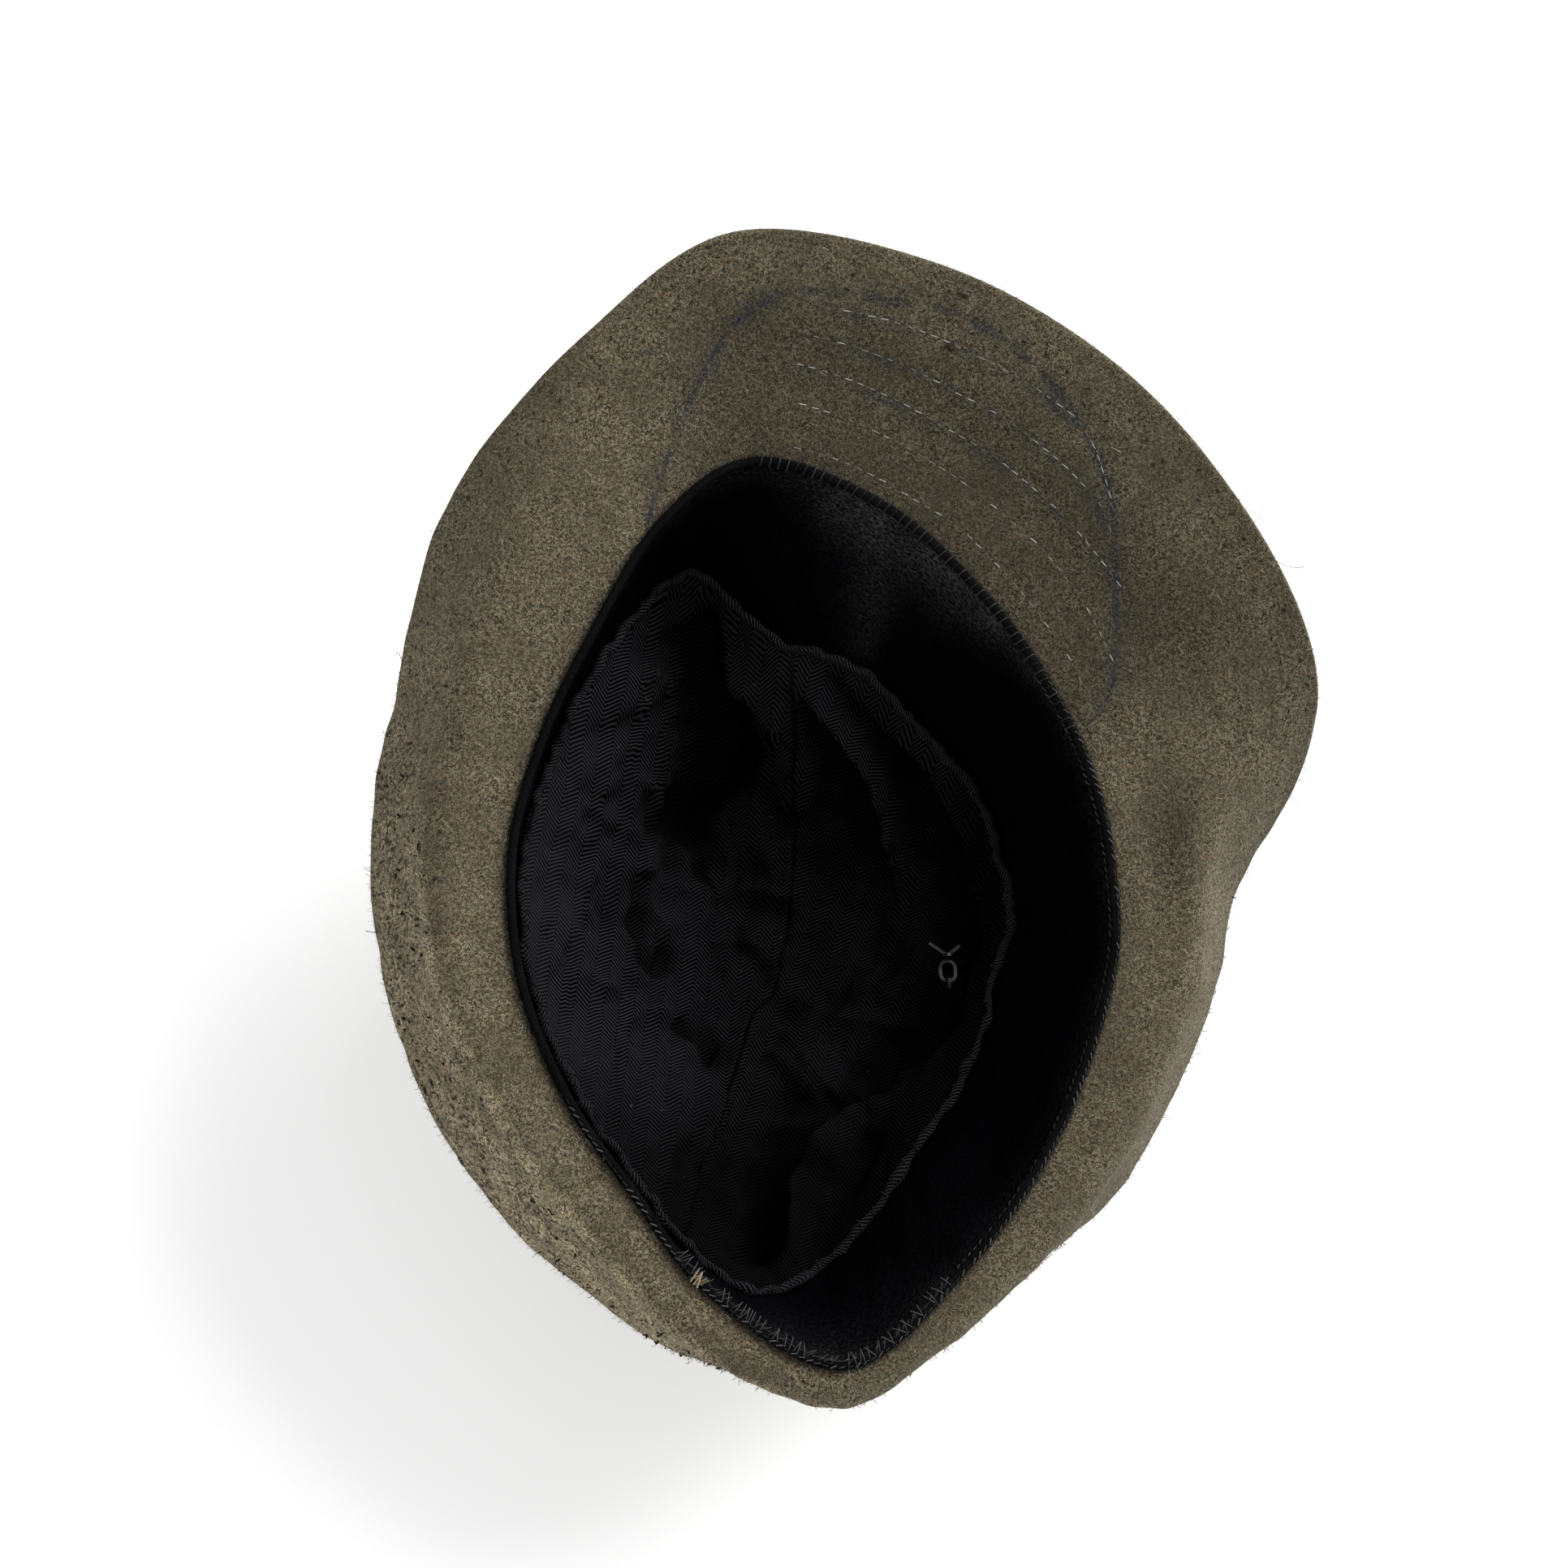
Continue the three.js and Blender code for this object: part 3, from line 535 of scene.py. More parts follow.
def chalk_marks(tree, place, color, lines):
    """Chalk lines over a colour: each has points as turn and mm out, a width in mm and a strength."""
    parts = node(tree, "ShaderNodeSeparateXYZ", {"Vector": layout_place(tree)})
    turn, out = parts.outputs["X"], parts.outputs["Y"]
    grain = span(tree, noise(tree, place, 1500, 2, 0.6), 0.4, 0.62, 0.2, 1)
    breaks = span(tree, noise(tree, place, 110, 2, 0.6), 0.35, 0.6, 0.15, 1)
    for points, width, strength in lines:
        low, high = points[0][0], points[-1][0]
        curve = node(tree, "ShaderNodeFloatCurve", {"Value": span(tree, turn, low, high)})
        knots = curve.mapping.curves[0].points
        while len(knots) < len(points):
            knots.new(0.5, 0.5)
        for knot, (knot_turn, distance) in zip(knots, points):
            knot.location = ((knot_turn - low) / (high - low), distance / LAYOUT_MM)
        curve.mapping.update()
        away = math_node(tree, "ABSOLUTE", math_node(tree, "SUBTRACT", out, curve.outputs[0]))
        mark = span(tree, away, width / 2 / LAYOUT_MM, width / LAYOUT_MM, 1, 0)
        after = math_node(tree, "GREATER_THAN", turn, low)
        before = math_node(tree, "LESS_THAN", turn, high)
        mark = math_node(tree, "MULTIPLY", mark, math_node(tree, "MULTIPLY", after, before))
        mark = math_node(tree, "MULTIPLY", mark, strength)
        mark = math_node(tree, "MULTIPLY", math_node(tree, "MULTIPLY", mark, grain), breaks)
        color = mix(tree, mark, color, CHALK_BLUE)
    return color


# Loden: heathered wool of browns, greens and tans, felted, with light hairs lying every way
def loden(name, dark, middle, light, lines=()):
    made, tree, shader = new_material(name)
    place = object_place(tree)
    clump = noise(tree, place, 1350, 3, 0.65, 0.8)
    speckle = noise(tree, place, 2800, 2, 0.6)
    patch = noise(tree, place, 90, 3, 0.6)
    stain = noise(tree, place, 22, 3, 0.6)
    blend = weighted_sum(tree, (clump, 0.55), (speckle, 0.45))
    color = ramp(tree, blend, (0.425, dark), (0.5, middle), (0.585, light))
    color = mix(tree, span(tree, patch, 0.4, 0.65, 0.0, 0.45), color, shaded(middle, 0.75))
    color = mix(tree, span(tree, stain, 0.52, 0.7, 0.0, 0.35), color, shaded(middle, 0.6))
    hairs = None
    for turned in ((0.3, 0.9, 0.2), (1.2, 0.1, 1.9), (2.1, 0.8, 0.9)):
        hair = noise(tree, stretched(tree, place, (3600, 3600, 620), turned), 1, 1, 0.5, 0.6)
        hair = span(tree, hair, 0.63, 0.74)
        hairs = hair if hairs is None else math_node(tree, "MAXIMUM", hairs, hair)
    color = mix(tree, math_node(tree, "MULTIPLY", hairs, 0.62), color, shaded(light, 1.6))
    tint = span(tree, noise(tree, place, 1150, 2, 0.6), 0.42, 0.58)
    color = mix(tree, 1.0, color, mix(tree, tint, (1.08, 0.98, 0.9), (0.94, 1.01, 1.03)), "MULTIPLY")
    # Painted shade and plain darkening from the brim's marks, then painted light and a painted highlight with
    # some fading
    color = tinted(tree, attribute(tree, "shade_and_darkening"), color, SHADE_AND_DARKENING_TINT)
    color = tinted(tree, attribute(tree, "fade_and_painted_light"), color, FADE_AND_PAINTED_LIGHT_TINT)
    pits = noise(tree, place, 720, 3, 0.6, 0.3)
    edge = math_node(tree, "SUBTRACT", 0.68, math_node(tree, "MULTIPLY", attribute(tree, "pitted"), 0.14))
    pits = math_node(tree, "MULTIPLY", math_node(tree, "SUBTRACT", pits, edge), 16, clamp=True)
    color = mix(tree, math_node(tree, "MULTIPLY", pits, 0.9), color, PIT_BROWN)
    if lines:
        color = chalk_marks(tree, place, color, lines)
    tree.links.new(color, shader.inputs["Base Color"])
    shader.inputs["Roughness"].default_value = 0.95
    shader.inputs["Specular IOR Level"].default_value = 0.15
    shader.inputs["Sheen Weight"].default_value = 0.12
    shader.inputs["Sheen Roughness"].default_value = 0.5
    shader.inputs["Sheen Tint"].default_value = (0.75, 0.72, 0.6, 1)
    bump(tree, shader, weighted_sum(tree, (clump, 0.7), (speckle, 0.5), (hairs, 0.35)), 0.0007, 0.8)
    return made


# Black leather: fine grain drawn out along the band
def leather(name, color, roughness):
    made, tree, shader = new_material(name)
    layout = layout_place(tree)
    rub_and_sheen = attribute(tree, "rub_and_sheen")
    leaning = (0, 0, 0.35)
    grain = noise(tree, stretched(tree, layout, (0.55, 1.5, 1), leaning), 1.7, 3, 0.6, 0.8)
    cells = node(tree, "ShaderNodeTexVoronoi",
                 {"Vector": stretched(tree, layout, (0.8, 1.7, 1), leaning), "Scale": 1.2})
    shade = ramp(tree, noise(tree, layout, 0.06, 3, 0.6), (0.3, color), (0.75, shaded(color, 2.2)))
    raised = span(tree, grain, 0.46, 0.62)
    # Grey on the raised grain where the band is marked: painted sheen, with some rub wear
    shade = mix(tree, math_node(tree, "MULTIPLY", rub_and_sheen, raised), shade, RUB_AND_SHEEN_GREY)
    tree.links.new(shade, shader.inputs["Base Color"])
    rough = math_node(tree, "ADD", roughness, math_node(tree, "MULTIPLY", grain, 0.12))
    tree.links.new(rough, shader.inputs["Roughness"])
    gloss = math_node(tree, "MULTIPLY", span(tree, rub_and_sheen, 0, 1, 0.015, 0.32),
                      span(tree, grain, 0.4, 0.62, 0.3, 1.5))
    tree.links.new(gloss, shader.inputs["Specular IOR Level"])
    bump(tree, shader, weighted_sum(tree, (grain, 0.8), (cells.outputs["Distance"], 0.5)), 0.0006, 0.9)
    return made


# Herringbone cotton: bands of slanting yarns that turn back on each other
def herringbone(name, dark, light):
    made, tree, shader = new_material(name)
    layout = layout_place(tree)
    place = object_place(tree)
    drift = math_node(tree, "SUBTRACT", noise(tree, layout, 0.04, 2), 0.5)
    parts = node(tree, "ShaderNodeSeparateXYZ", {"Vector": layout})
    across = math_node(tree, "ADD", parts.outputs["X"], math_node(tree, "MULTIPLY", drift, 3.0))
    zigzag = math_node(tree, "PINGPONG", across, HERRINGBONE_WIDTH)
    slant = math_node(tree, "ADD", parts.outputs["Y"], math_node(tree, "MULTIPLY", zigzag, 0.85))
    yarn = span(tree, math_node(tree, "PINGPONG", slant, 0.52), 0.16, 0.36)
    other_side = math_node(tree, "SUBTRACT", HERRINGBONE_WIDTH, zigzag)
    turn_line = span(tree, math_node(tree, "MINIMUM", zigzag, other_side), 0.0, 0.28)
    weave = math_node(tree, "MULTIPLY", yarn, span(tree, turn_line, 0, 1, 0.75, 1))
    fibre = noise(tree, place, 2300, 2, 0.6)
    lint = span(tree, noise(tree, place, 700, 2, 0.6), 0.72, 0.78, 0, 0.8)
    fade = noise(tree, place, 28, 3, 0.55)
    color = mix(tree, weave, dark, light)
    color = mix(tree, span(tree, fade, 0.45, 0.8, 0, 0.3), color, light)
    color = mix(tree, span(tree, fibre, 0.35, 0.7, 0.35, 0), color, dark)
    color = mix(tree, lint, color, shaded(light, 2.5))
    # Near black where the cloth is marked: painted shade in the folds, and the dark seam line
    color = mix(tree, math_node(tree, "MULTIPLY", attribute(tree, "fold_shade_and_seam"), 0.9), color, FOLD_SHADE_BLACK)
    tree.links.new(color, shader.inputs["Base Color"])
    shader.inputs["Roughness"].default_value = 0.95
    shader.inputs["Specular IOR Level"].default_value = 0.03
    bump(tree, shader, weighted_sum(tree, (weave, 1.0), (fibre, 0.35)), 0.0003, 0.9)
    return made


# Steel, drawn and dulled
def steel(name, color, roughness):
    made, tree, shader = new_material(name)
    place = object_place(tree)
    drawn = noise(tree, stretched(tree, place, (500, 500, 4000)), 1, 3, 0.6)
    tarnish = noise(tree, place, 400, 3, 0.6)
    shade = ramp(tree, tarnish, (0.35, shaded(color, 0.35)), (0.65, color))
    tree.links.new(shade, shader.inputs["Base Color"])
    shader.inputs["Metallic"].default_value = 1
    tree.links.new(span(tree, drawn, 0.3, 0.7, roughness, roughness + 0.25), shader.inputs["Roughness"])
    bump(tree, shader, drawn, 0.00004, 0.6)
    return made


# Sewing thread, each stitch a little lighter or darker than the next
def thread(name, dark, light, roughness=0.8):
    made, tree, shader = new_material(name)
    place = object_place(tree)
    fibres = noise(tree, place, 5200, 2, 0.6)
    tone = weighted_sum(tree, (noise(tree, place, 800, 2, 0.6), 0.4), (attribute(tree, "shade"), 0.6))
    tree.links.new(ramp(tree, tone, (0.25, dark), (0.7, light)), shader.inputs["Base Color"])
    shader.inputs["Roughness"].default_value = roughness
    shader.inputs["Specular IOR Level"].default_value = 0.25
    bump(tree, shader, fibres, 0.00008, 0.8)
    return made


FELT_DARK = (0.022, 0.017, 0.01)
FELT_MIDDLE = (0.1, 0.083, 0.052)
FELT_LIGHT = (0.3, 0.265, 0.178)
# The crown's felt is the brim's felt darkened by this share: painted shade for the crown lying under the brim
CROWN_SHADE = 0.8

# Chalk on the brim: the outline of the stiffened front and the lines inside it, as turn and mm out
CHALK_OUTLINE = [(0.136, 2.9), (0.147, 13.2), (0.157, 17.2), (0.178, 27), (0.199, 38.9), (0.215, 44.9),
                 (0.232, 48.6), (0.261, 50.3), (0.279, 47), (0.317, 39.8), (0.338, 30.2), (0.36, 17.3),
                 (0.396, 1.1)]
CHALK_BESIDE = [
    [(0.199, 38.5), (0.212, 43.5), (0.23, 45), (0.25, 44), (0.274, 41.5), (0.307, 38.2)],
    [(0.192, 33), (0.208, 35.6), (0.23, 35.4), (0.25, 34), (0.28, 32), (0.31, 31)],
    [(0.176, 26.4), (0.2, 26.4), (0.23, 26), (0.26, 23.6), (0.317, 23.2)],
]
chalk_lines = [(CHALK_OUTLINE, 1.5, 0.85), (CHALK_OUTLINE, 6, 0.3)]
chalk_lines += [(points, 1.7, 0.6) for points in CHALK_BESIDE]

loden_brim = loden("loden_brim", FELT_DARK, FELT_MIDDLE, FELT_LIGHT, chalk_lines)
crown_shaded_tones = [shaded(tone, CROWN_SHADE) for tone in (FELT_DARK, FELT_MIDDLE, FELT_LIGHT)]
shaded_loden_crown = loden("shaded_loden_crown", *crown_shaded_tones)
black_leather = leather("black_leather", (0.0007, 0.0006, 0.0011), 0.42)
welt_leather = leather("welt_leather", (0.004, 0.004, 0.0045), 0.55)
dark_cotton = herringbone("dark_cotton", (0.0003, 0.0003, 0.0005), (0.037, 0.034, 0.039))
worn_steel = steel("worn_steel", (0.045, 0.045, 0.048), 0.26)

# Brim
turns = np.arange(AROUND) / AROUND
LEFT_SIDE = smoothstep(turns, 0.45, 0.58) * (1 - smoothstep(turns, 0.76, 0.84))
CREST_OUT = np.interp(turns, [0.5, 0.561, 0.65, 0.707, 0.767, 0.82], [25, 21.4, 15.8, 15.1, 13.5, 11])


def shares(count):
    return np.linspace(0, 1, count)


def dent(out):
    """The soft hollow in the brim beside the opening."""
    return np.exp(-(((turns - DENT_TURN) / 0.03) ** 2)) * np.exp(-(((out - DENT_OUT) / 7) ** 2))


def crest(out):
    """The narrow line where the left side of the brim turns over: a low ridge, and a painted highlight along
    it.
    """
    return LEFT_SIDE * np.exp(-(((out - CREST_OUT) / CREST_WIDTH) ** 2))


def brim_marks(out, reach, places):
    """How darkened, lightened and pitted the brim's upper face is at each place: painted shade in the dent
    and out on the right, plain darkening across the front and at the edge, painted light on the outer left
    and a painted highlight along the crest, with some fading.
    """
    # Plain darkening across the stiffened front; painted shade further out on the right side, where the light
    # grazes
    front = smoothstep(turns, 0.1, 0.16) * (1 - smoothstep(turns, 0.33, 0.4))
    right = smoothstep(turns, 0.03, 0.06) * (1 - smoothstep(turns, 0.14, 0.18))
    shade_and_darkening = 0.72 * front * (1 - smoothstep(out, 28, 52)) + 0.2 * right * smoothstep(out, 20, 40)
    # Painted shade in the dent's hollow, and plain darkening at the outer edge
    shade_and_darkening = shade_and_darkening + 0.75 * dent(out) + 0.15 * smoothstep(out / reach, 0.9, 1)
    # Painted light on the outer left side beyond the crest, more of it low down, with some fading; a painted
    # highlight along the crest
    beyond = smoothstep(out, CREST_OUT + 1, CREST_OUT + 7)
    low_left = smoothstep(turns, 0.59, 0.66)
    fade_and_painted_light = LEFT_SIDE * (0.07 + (0.2 + 0.15 * low_left) * beyond)
    fade_and_painted_light = fade_and_painted_light + 0.55 * crest(out) * smoothstep(turns, 0.53, 0.6)
    fade_and_painted_light = fade_and_painted_light * (1 + 0.4 * rumple(places, 9, 6) + 0.3 * rumple(places, 3, 7))
    upper_left = smoothstep(turns, 0.3, 0.4) * (1 - smoothstep(turns, 0.5, 0.6))
    pitted = LEFT_SIDE * beyond + 0.35 * upper_left
    return {"shade_and_darkening": np.clip(shade_and_darkening, 0, 0.95), "fade_and_painted_light": np.clip(fade_and_painted_light, 0, 1), "pitted": pitted}


def brim_piece():
    reach = brim_length(turns) - EDGE_ROUND
    steps = shares(BRIM_ROWS)[:, None]
    out = steps * reach
    face = brim_place(turns[None] + 0 * steps, out)
    normal = grid_normals(face)
    below = face + BRIM_THICKNESS * normal
    dip = DENT_DEPTH * dent(out)
    uneven = 0.32 * rumple(face, 26, 3) + 0.14 * rumple(face, 7, 4) + dip - CREST_HEIGHT * crest(out)
    face = face + normal * (uneven * smoothstep(steps, 0.02, 0.2))[..., None]
    below = below + normal * (0.32 * rumple(below, 26, 3) + 0.1 * rumple(below, 7, 5) + dip)[..., None]
    outward = unit(face[-1] - face[-2])
    middle, half = (face[-1] + below[-1]) / 2, (face[-1] - below[-1]) / 2
    edge = []
    for angle in np.linspace(0, math.pi, EDGE_ROWS + 2)[1:-1]:
        edge.append(middle + half * math.cos(angle) + outward * EDGE_ROUND * math.sin(angle) ** 0.7)
    rings = np.concatenate([face, np.array(edge), below[::-1]])
    distance = np.concatenate([out, np.tile(reach + 1, (EDGE_ROWS, 1)), out[::-1]])
    upper = np.concatenate([np.ones(BRIM_ROWS), np.zeros(BRIM_ROWS + EDGE_ROWS)])[:, None]
    marks = {key: value * upper for key, value in brim_marks(distance, reach, rings).items()}
    distance = np.concatenate([distance, distance[:, :1]], 1)
    turn = np.concatenate([turns, [1.0]])[None] + 0 * distance
    uv = np.stack([np.where(upper > 0, turn, -1), distance / LAYOUT_MM], -1)
    made = ring_mesh("felt_brim", rings, loden_brim, uv, values=marks)
    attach(made, "root")
    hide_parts("brim")
    rim = np.concatenate([face[-2:], np.array(edge), below[-1:]])
    return face, normal, rim, {key: marks[key][:BRIM_ROWS] for key in ("shade_and_darkening", "fade_and_painted_light")}


brim_face, brim_normal, brim_rim, face_marks = brim_piece()


# Crown
def crown_rings(turn):
    outwards = opening(turn)
    heading = np.arctan2(outwards[:, 1], outwards[:, 0])
    rings = [wall_place(turn, s + 0 * turn) for s in shares(CROWN_ROWS)]
    for angle in np.linspace(0, math.pi / 2, 9)[1:]:
        inset = TIP_ROUND * (1 - math.cos(angle))
        rings.append(tip_place(heading, 1, 1, inset, TIP_ROUND * (1 - math.sin(angle))))
    rings.append(tip_place(heading, 1, 1, TIP_ROUND + TIP_RIM / 2, 0))
    rings.append(tip_place(heading, 1, 1, TIP_ROUND + TIP_RIM, 0))
    for s in shares(12)[1:]:
        across, along = 1 + (CREASE_WIDTH - 1) * s, 1 + (CREASE_LENGTH - 1) * s
        up = CREASE_DEPTH * smoothstep(s, 0, 1)
        rings.append(tip_place(heading, across, along, TIP_ROUND + TIP_RIM, up))
    return np.array(rings)


crown_turns = np.arange(CROWN_AROUND) / CROWN_AROUND
crown_outside = crown_rings(crown_turns)
crown_normal = grid_normals(crown_outside)
crown_inside = crown_outside + CROWN_THICKNESS * crown_normal
lift = smoothstep(crown_outside[..., 2], 0.5, 8)
crown_outside = crown_outside + crown_normal * (
    lift * (0.35 * rumple(crown_outside, 34, 11) + 0.1 * rumple(crown_outside, 8, 12)))[..., None]
tip_middle = tip_place(np.zeros(1), 0, 0, 0, CREASE_DEPTH)[0]
felt_crown = ring_mesh(
    "felt_crown", np.concatenate([crown_inside[::-1], crown_outside]), shaded_loden_crown,
    middles=[tip_middle + [0, 0, CROWN_THICKNESS], tip_middle])
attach(felt_crown, "root")
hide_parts("crown")

# Sweatband
opening_loop = np.concatenate([opening(turns), opening(turns[:1])])
arc = np.concatenate([[0], np.cumsum(np.linalg.norm(np.diff(opening_loop, axis=0), axis=1))])
PERIMETER = arc[-1]

# Creases across the front of the sweatband: turn, depth in mm and half width in turns
BAND_CREASES = [(0.312, -0.9, 0.006), (0.3, 0.6, 0.006), (0.27, -0.5, 0.012), (0.36, -0.5, 0.01)]


def band_piece():
    steps = shares(BAND_ROWS)[:, None]
    down = steps * BAND_WIDTH
    face = band_place(turns[None] + 0 * steps, down)
    normal = grid_normals(face)
    outer = face - BAND_THICKNESS * normal
    shape = np.sin(math.pi * steps) * 0.5 + 0.25 * rumple(face, 22, 21) + 0.12 * rumple(face, 7, 22)
    for turn, depth, width in BAND_CREASES:
        shape = shape + depth * np.exp(-(((turns - turn) / width) ** 2)) * smoothstep(steps, 0.1, 0.7)
    room = np.minimum(smoothstep(steps, 0, 0.1), 1 - smoothstep(steps, 0.72, 0.85))
    face = face + normal * (np.clip(shape, -0.9, 1.6) * room)[..., None]
    rings = np.concatenate([face, outer[::-1]])
    unrolled = np.concatenate([down, down[::-1]])
    uv = np.stack([arc[None] + 0 * unrolled, unrolled + 0 * arc[None]], -1)
    # Painted sheen along the front edge, a painted highlight down one crease, and a little along the edge all
    # round and at the back, with some rub wear; the same marks raise the gloss
    front = smoothstep(turns, 0.15, 0.22) * (1 - smoothstep(turns, 0.28, 0.33))
    reach = 3.5 + 6.5 * smoothstep(turns, 0.17, 0.25)
    crease_highlight = np.exp(-(((turns - 0.272) / 0.012) ** 2)) * np.exp(-(((steps - 0.45) / 0.3) ** 2))
    back = np.exp(-(((turns - 0.83) / 0.07) ** 2))
    rub_and_sheen = 0.8 * front * np.exp(-((down / reach) ** 2)) + 0.3 * crease_highlight
    rub_and_sheen = rub_and_sheen + 0.16 * np.exp(-((down / 4) ** 2)) + 0.12 * back * np.exp(-((down / 14) ** 2))
    rub_and_sheen = np.clip(rub_and_sheen * (1 + 0.3 * rumple(face, 15, 23)), 0, 1)
    values = {"rub_and_sheen": np.concatenate([rub_and_sheen, 0 * rub_and_sheen])}
    made = ring_mesh("leather_sweatband", rings, black_leather, uv, values=values)
    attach(made, "root")
    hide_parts("sweatband")


band_piece()

# Welt, pinched in by its whip stitches
PINCHES = 250
welt_turns = np.arange(WELT_AROUND) / WELT_AROUND
pinch = 1 - 0.1 * np.abs(np.sin(math.pi * welt_turns * PINCHES))
rings = welt_rings(welt_turns, WELT_SIDES, WELT_RADIUS)
middle = rings.mean(0)
rings = middle + (rings - middle) * pinch[None, :, None]
along = np.concatenate([welt_turns, [1]]) * PERIMETER
across = np.arange(WELT_SIDES)[:, None] * 0.6
uv = np.stack([along[None] + 0 * across, across + 0 * along[None]], -1)
welt = ring_mesh("piped_welt", rings, welt_leather, uv)
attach(welt, "root")
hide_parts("welt")


# Lining
def smooth_line(path, count=40):
    points = np.array(path, float) * [OPENING_WIDTH / 2, OPENING_LENGTH / 2]
    padded = np.concatenate([2 * points[:1] - points[1:2], points, 2 * points[-1:] - points[-2:-1]])
    out = []
    for t in np.linspace(0, len(points) - 1 - 1e-6, count):
        i = int(t)
        out.append(curve_through(*padded[i : i + 4], t - i))
    return np.array(out)


def from_line(places, line):
    """Distance to a line of points, which side it is on, and how far along the line."""
    least = np.full(places.shape[:-1], np.inf)
    side = np.zeros_like(least)
    way = np.zeros_like(least)
    for i in range(1, len(line)):
        run = line[i] - line[i - 1]
        away = places - line[i - 1]
        share = np.clip(away @ run / (run @ run), 0, 1)
        gap = np.linalg.norm(away - share[..., None] * run, axis=-1)
        nearer = gap < least
        least = np.where(nearer, gap, least)
        side = np.where(nearer, run[0] * away[..., 1] - run[1] * away[..., 0], side)
        way = np.where(nearer, (i - 1 + share) / (len(line) - 1), way)
    return least, side, way


def plan_shares(points):
    from_opening = points - [0, 0, OPENING_HEIGHT]
    return np.stack([from_opening @ RIGHT, from_opening @ FRONT], -1)


def fold_height(places):
    """Height of the cloth's folds, and how much painted shade each place gets in the narrow bottom of a deep
    fold.
    """
    height = np.zeros(places.shape[:-1])
    depth = np.zeros(places.shape[:-1])
    for fold in FOLDS:
        gap, side, way = from_line(places, smooth_line(fold["path"]))
        width = np.where(side > 0, fold["left"], fold["right"])
        ends = smoothstep(way, 0, 0.12) * (1 - smoothstep(way, 0.85, 1))
        gap = np.sqrt(gap**2 + 0.3) + 0.5 * rumple(places, 11, 51)
        shape = np.exp(-(np.abs(gap) / width) ** 1.6) * (0.45 + 0.55 * ends)
        height += FOLD_GAIN * fold["height"] * shape
        if fold["height"] < -2:
            narrow = np.exp(-((gap / (0.45 * width + 0.6)) ** 2))
            depth = np.maximum(depth, narrow * min(1, -fold["height"] / 5) * ends)
    return height, depth


def hem_distance(turn):
    places, distances = zip(*HEM_LINE)
    fine = np.interp(turn, places, distances)
    for _ in range(3):
        fine = (np.roll(fine, 1) + 2 * fine + np.roll(fine, -1)) / 4
    return fine


def lining_base(turn):
    """The bowl without its folds: the cloth on the sweatband, then the sag to the middle."""
    hem_at = hem_distance(turn)
    edges = np.array([band_place(turn, hem_at + s * HEM_DEPTH) for s in shares(HEM_ROWS)])
    edges = edges + (1 + 2 * SEAT_GAP) * grid_normals(edges)
    middle = np.array([-TIP_TO_LEFT * MIDDLE_SHIFT, TIP_TO_FRONT * MIDDLE_SHIFT, LINING_HEIGHT])
    steps = shares(LINING_ROWS)[1:-1]
    sag = []
    for s in steps:
        ring = edges[-1] + (middle - edges[-1]) * s
        ring[:, 2] = middle[2] + (edges[-1][:, 2] - middle[2]) * (1 - s) ** SAG_POWER
        sag.append(ring)
    return np.concatenate([edges, np.array(sag)]), np.concatenate([np.zeros(HEM_ROWS), steps])[:, None]


def wrinkle_height(base, way, turn):
    """Small wrinkles all over the lining, and gathers along its edge."""
    wrinkles = 0.7 * rumple(base, 24, 31) + 0.6 * rumple(base, 10, 32) + 0.18 * rumple(base, 5, 33)
    ripples = 1 - 2 * np.abs(np.sin(1.6 * rumple(base, 26, 37)))
    wrinkles = wrinkles + 0.5 * ripples * smoothstep(way, 0.05, 0.2)
    gathers = np.abs(np.sin(math.pi * 95 * turn + 2.5 * rumple(base, 30, 35)))
    near_edge = np.exp(-(((way - 0.005) / 0.03) ** 2))
    patchy = 0.4 + 0.6 * smoothstep(rumple(base, 40, 36), -0.3, 0.8)
    return (0.25 + smoothstep(way, 0.02, 0.1)) * wrinkles + 0.7 * (gathers - 0.5) * near_edge * patchy


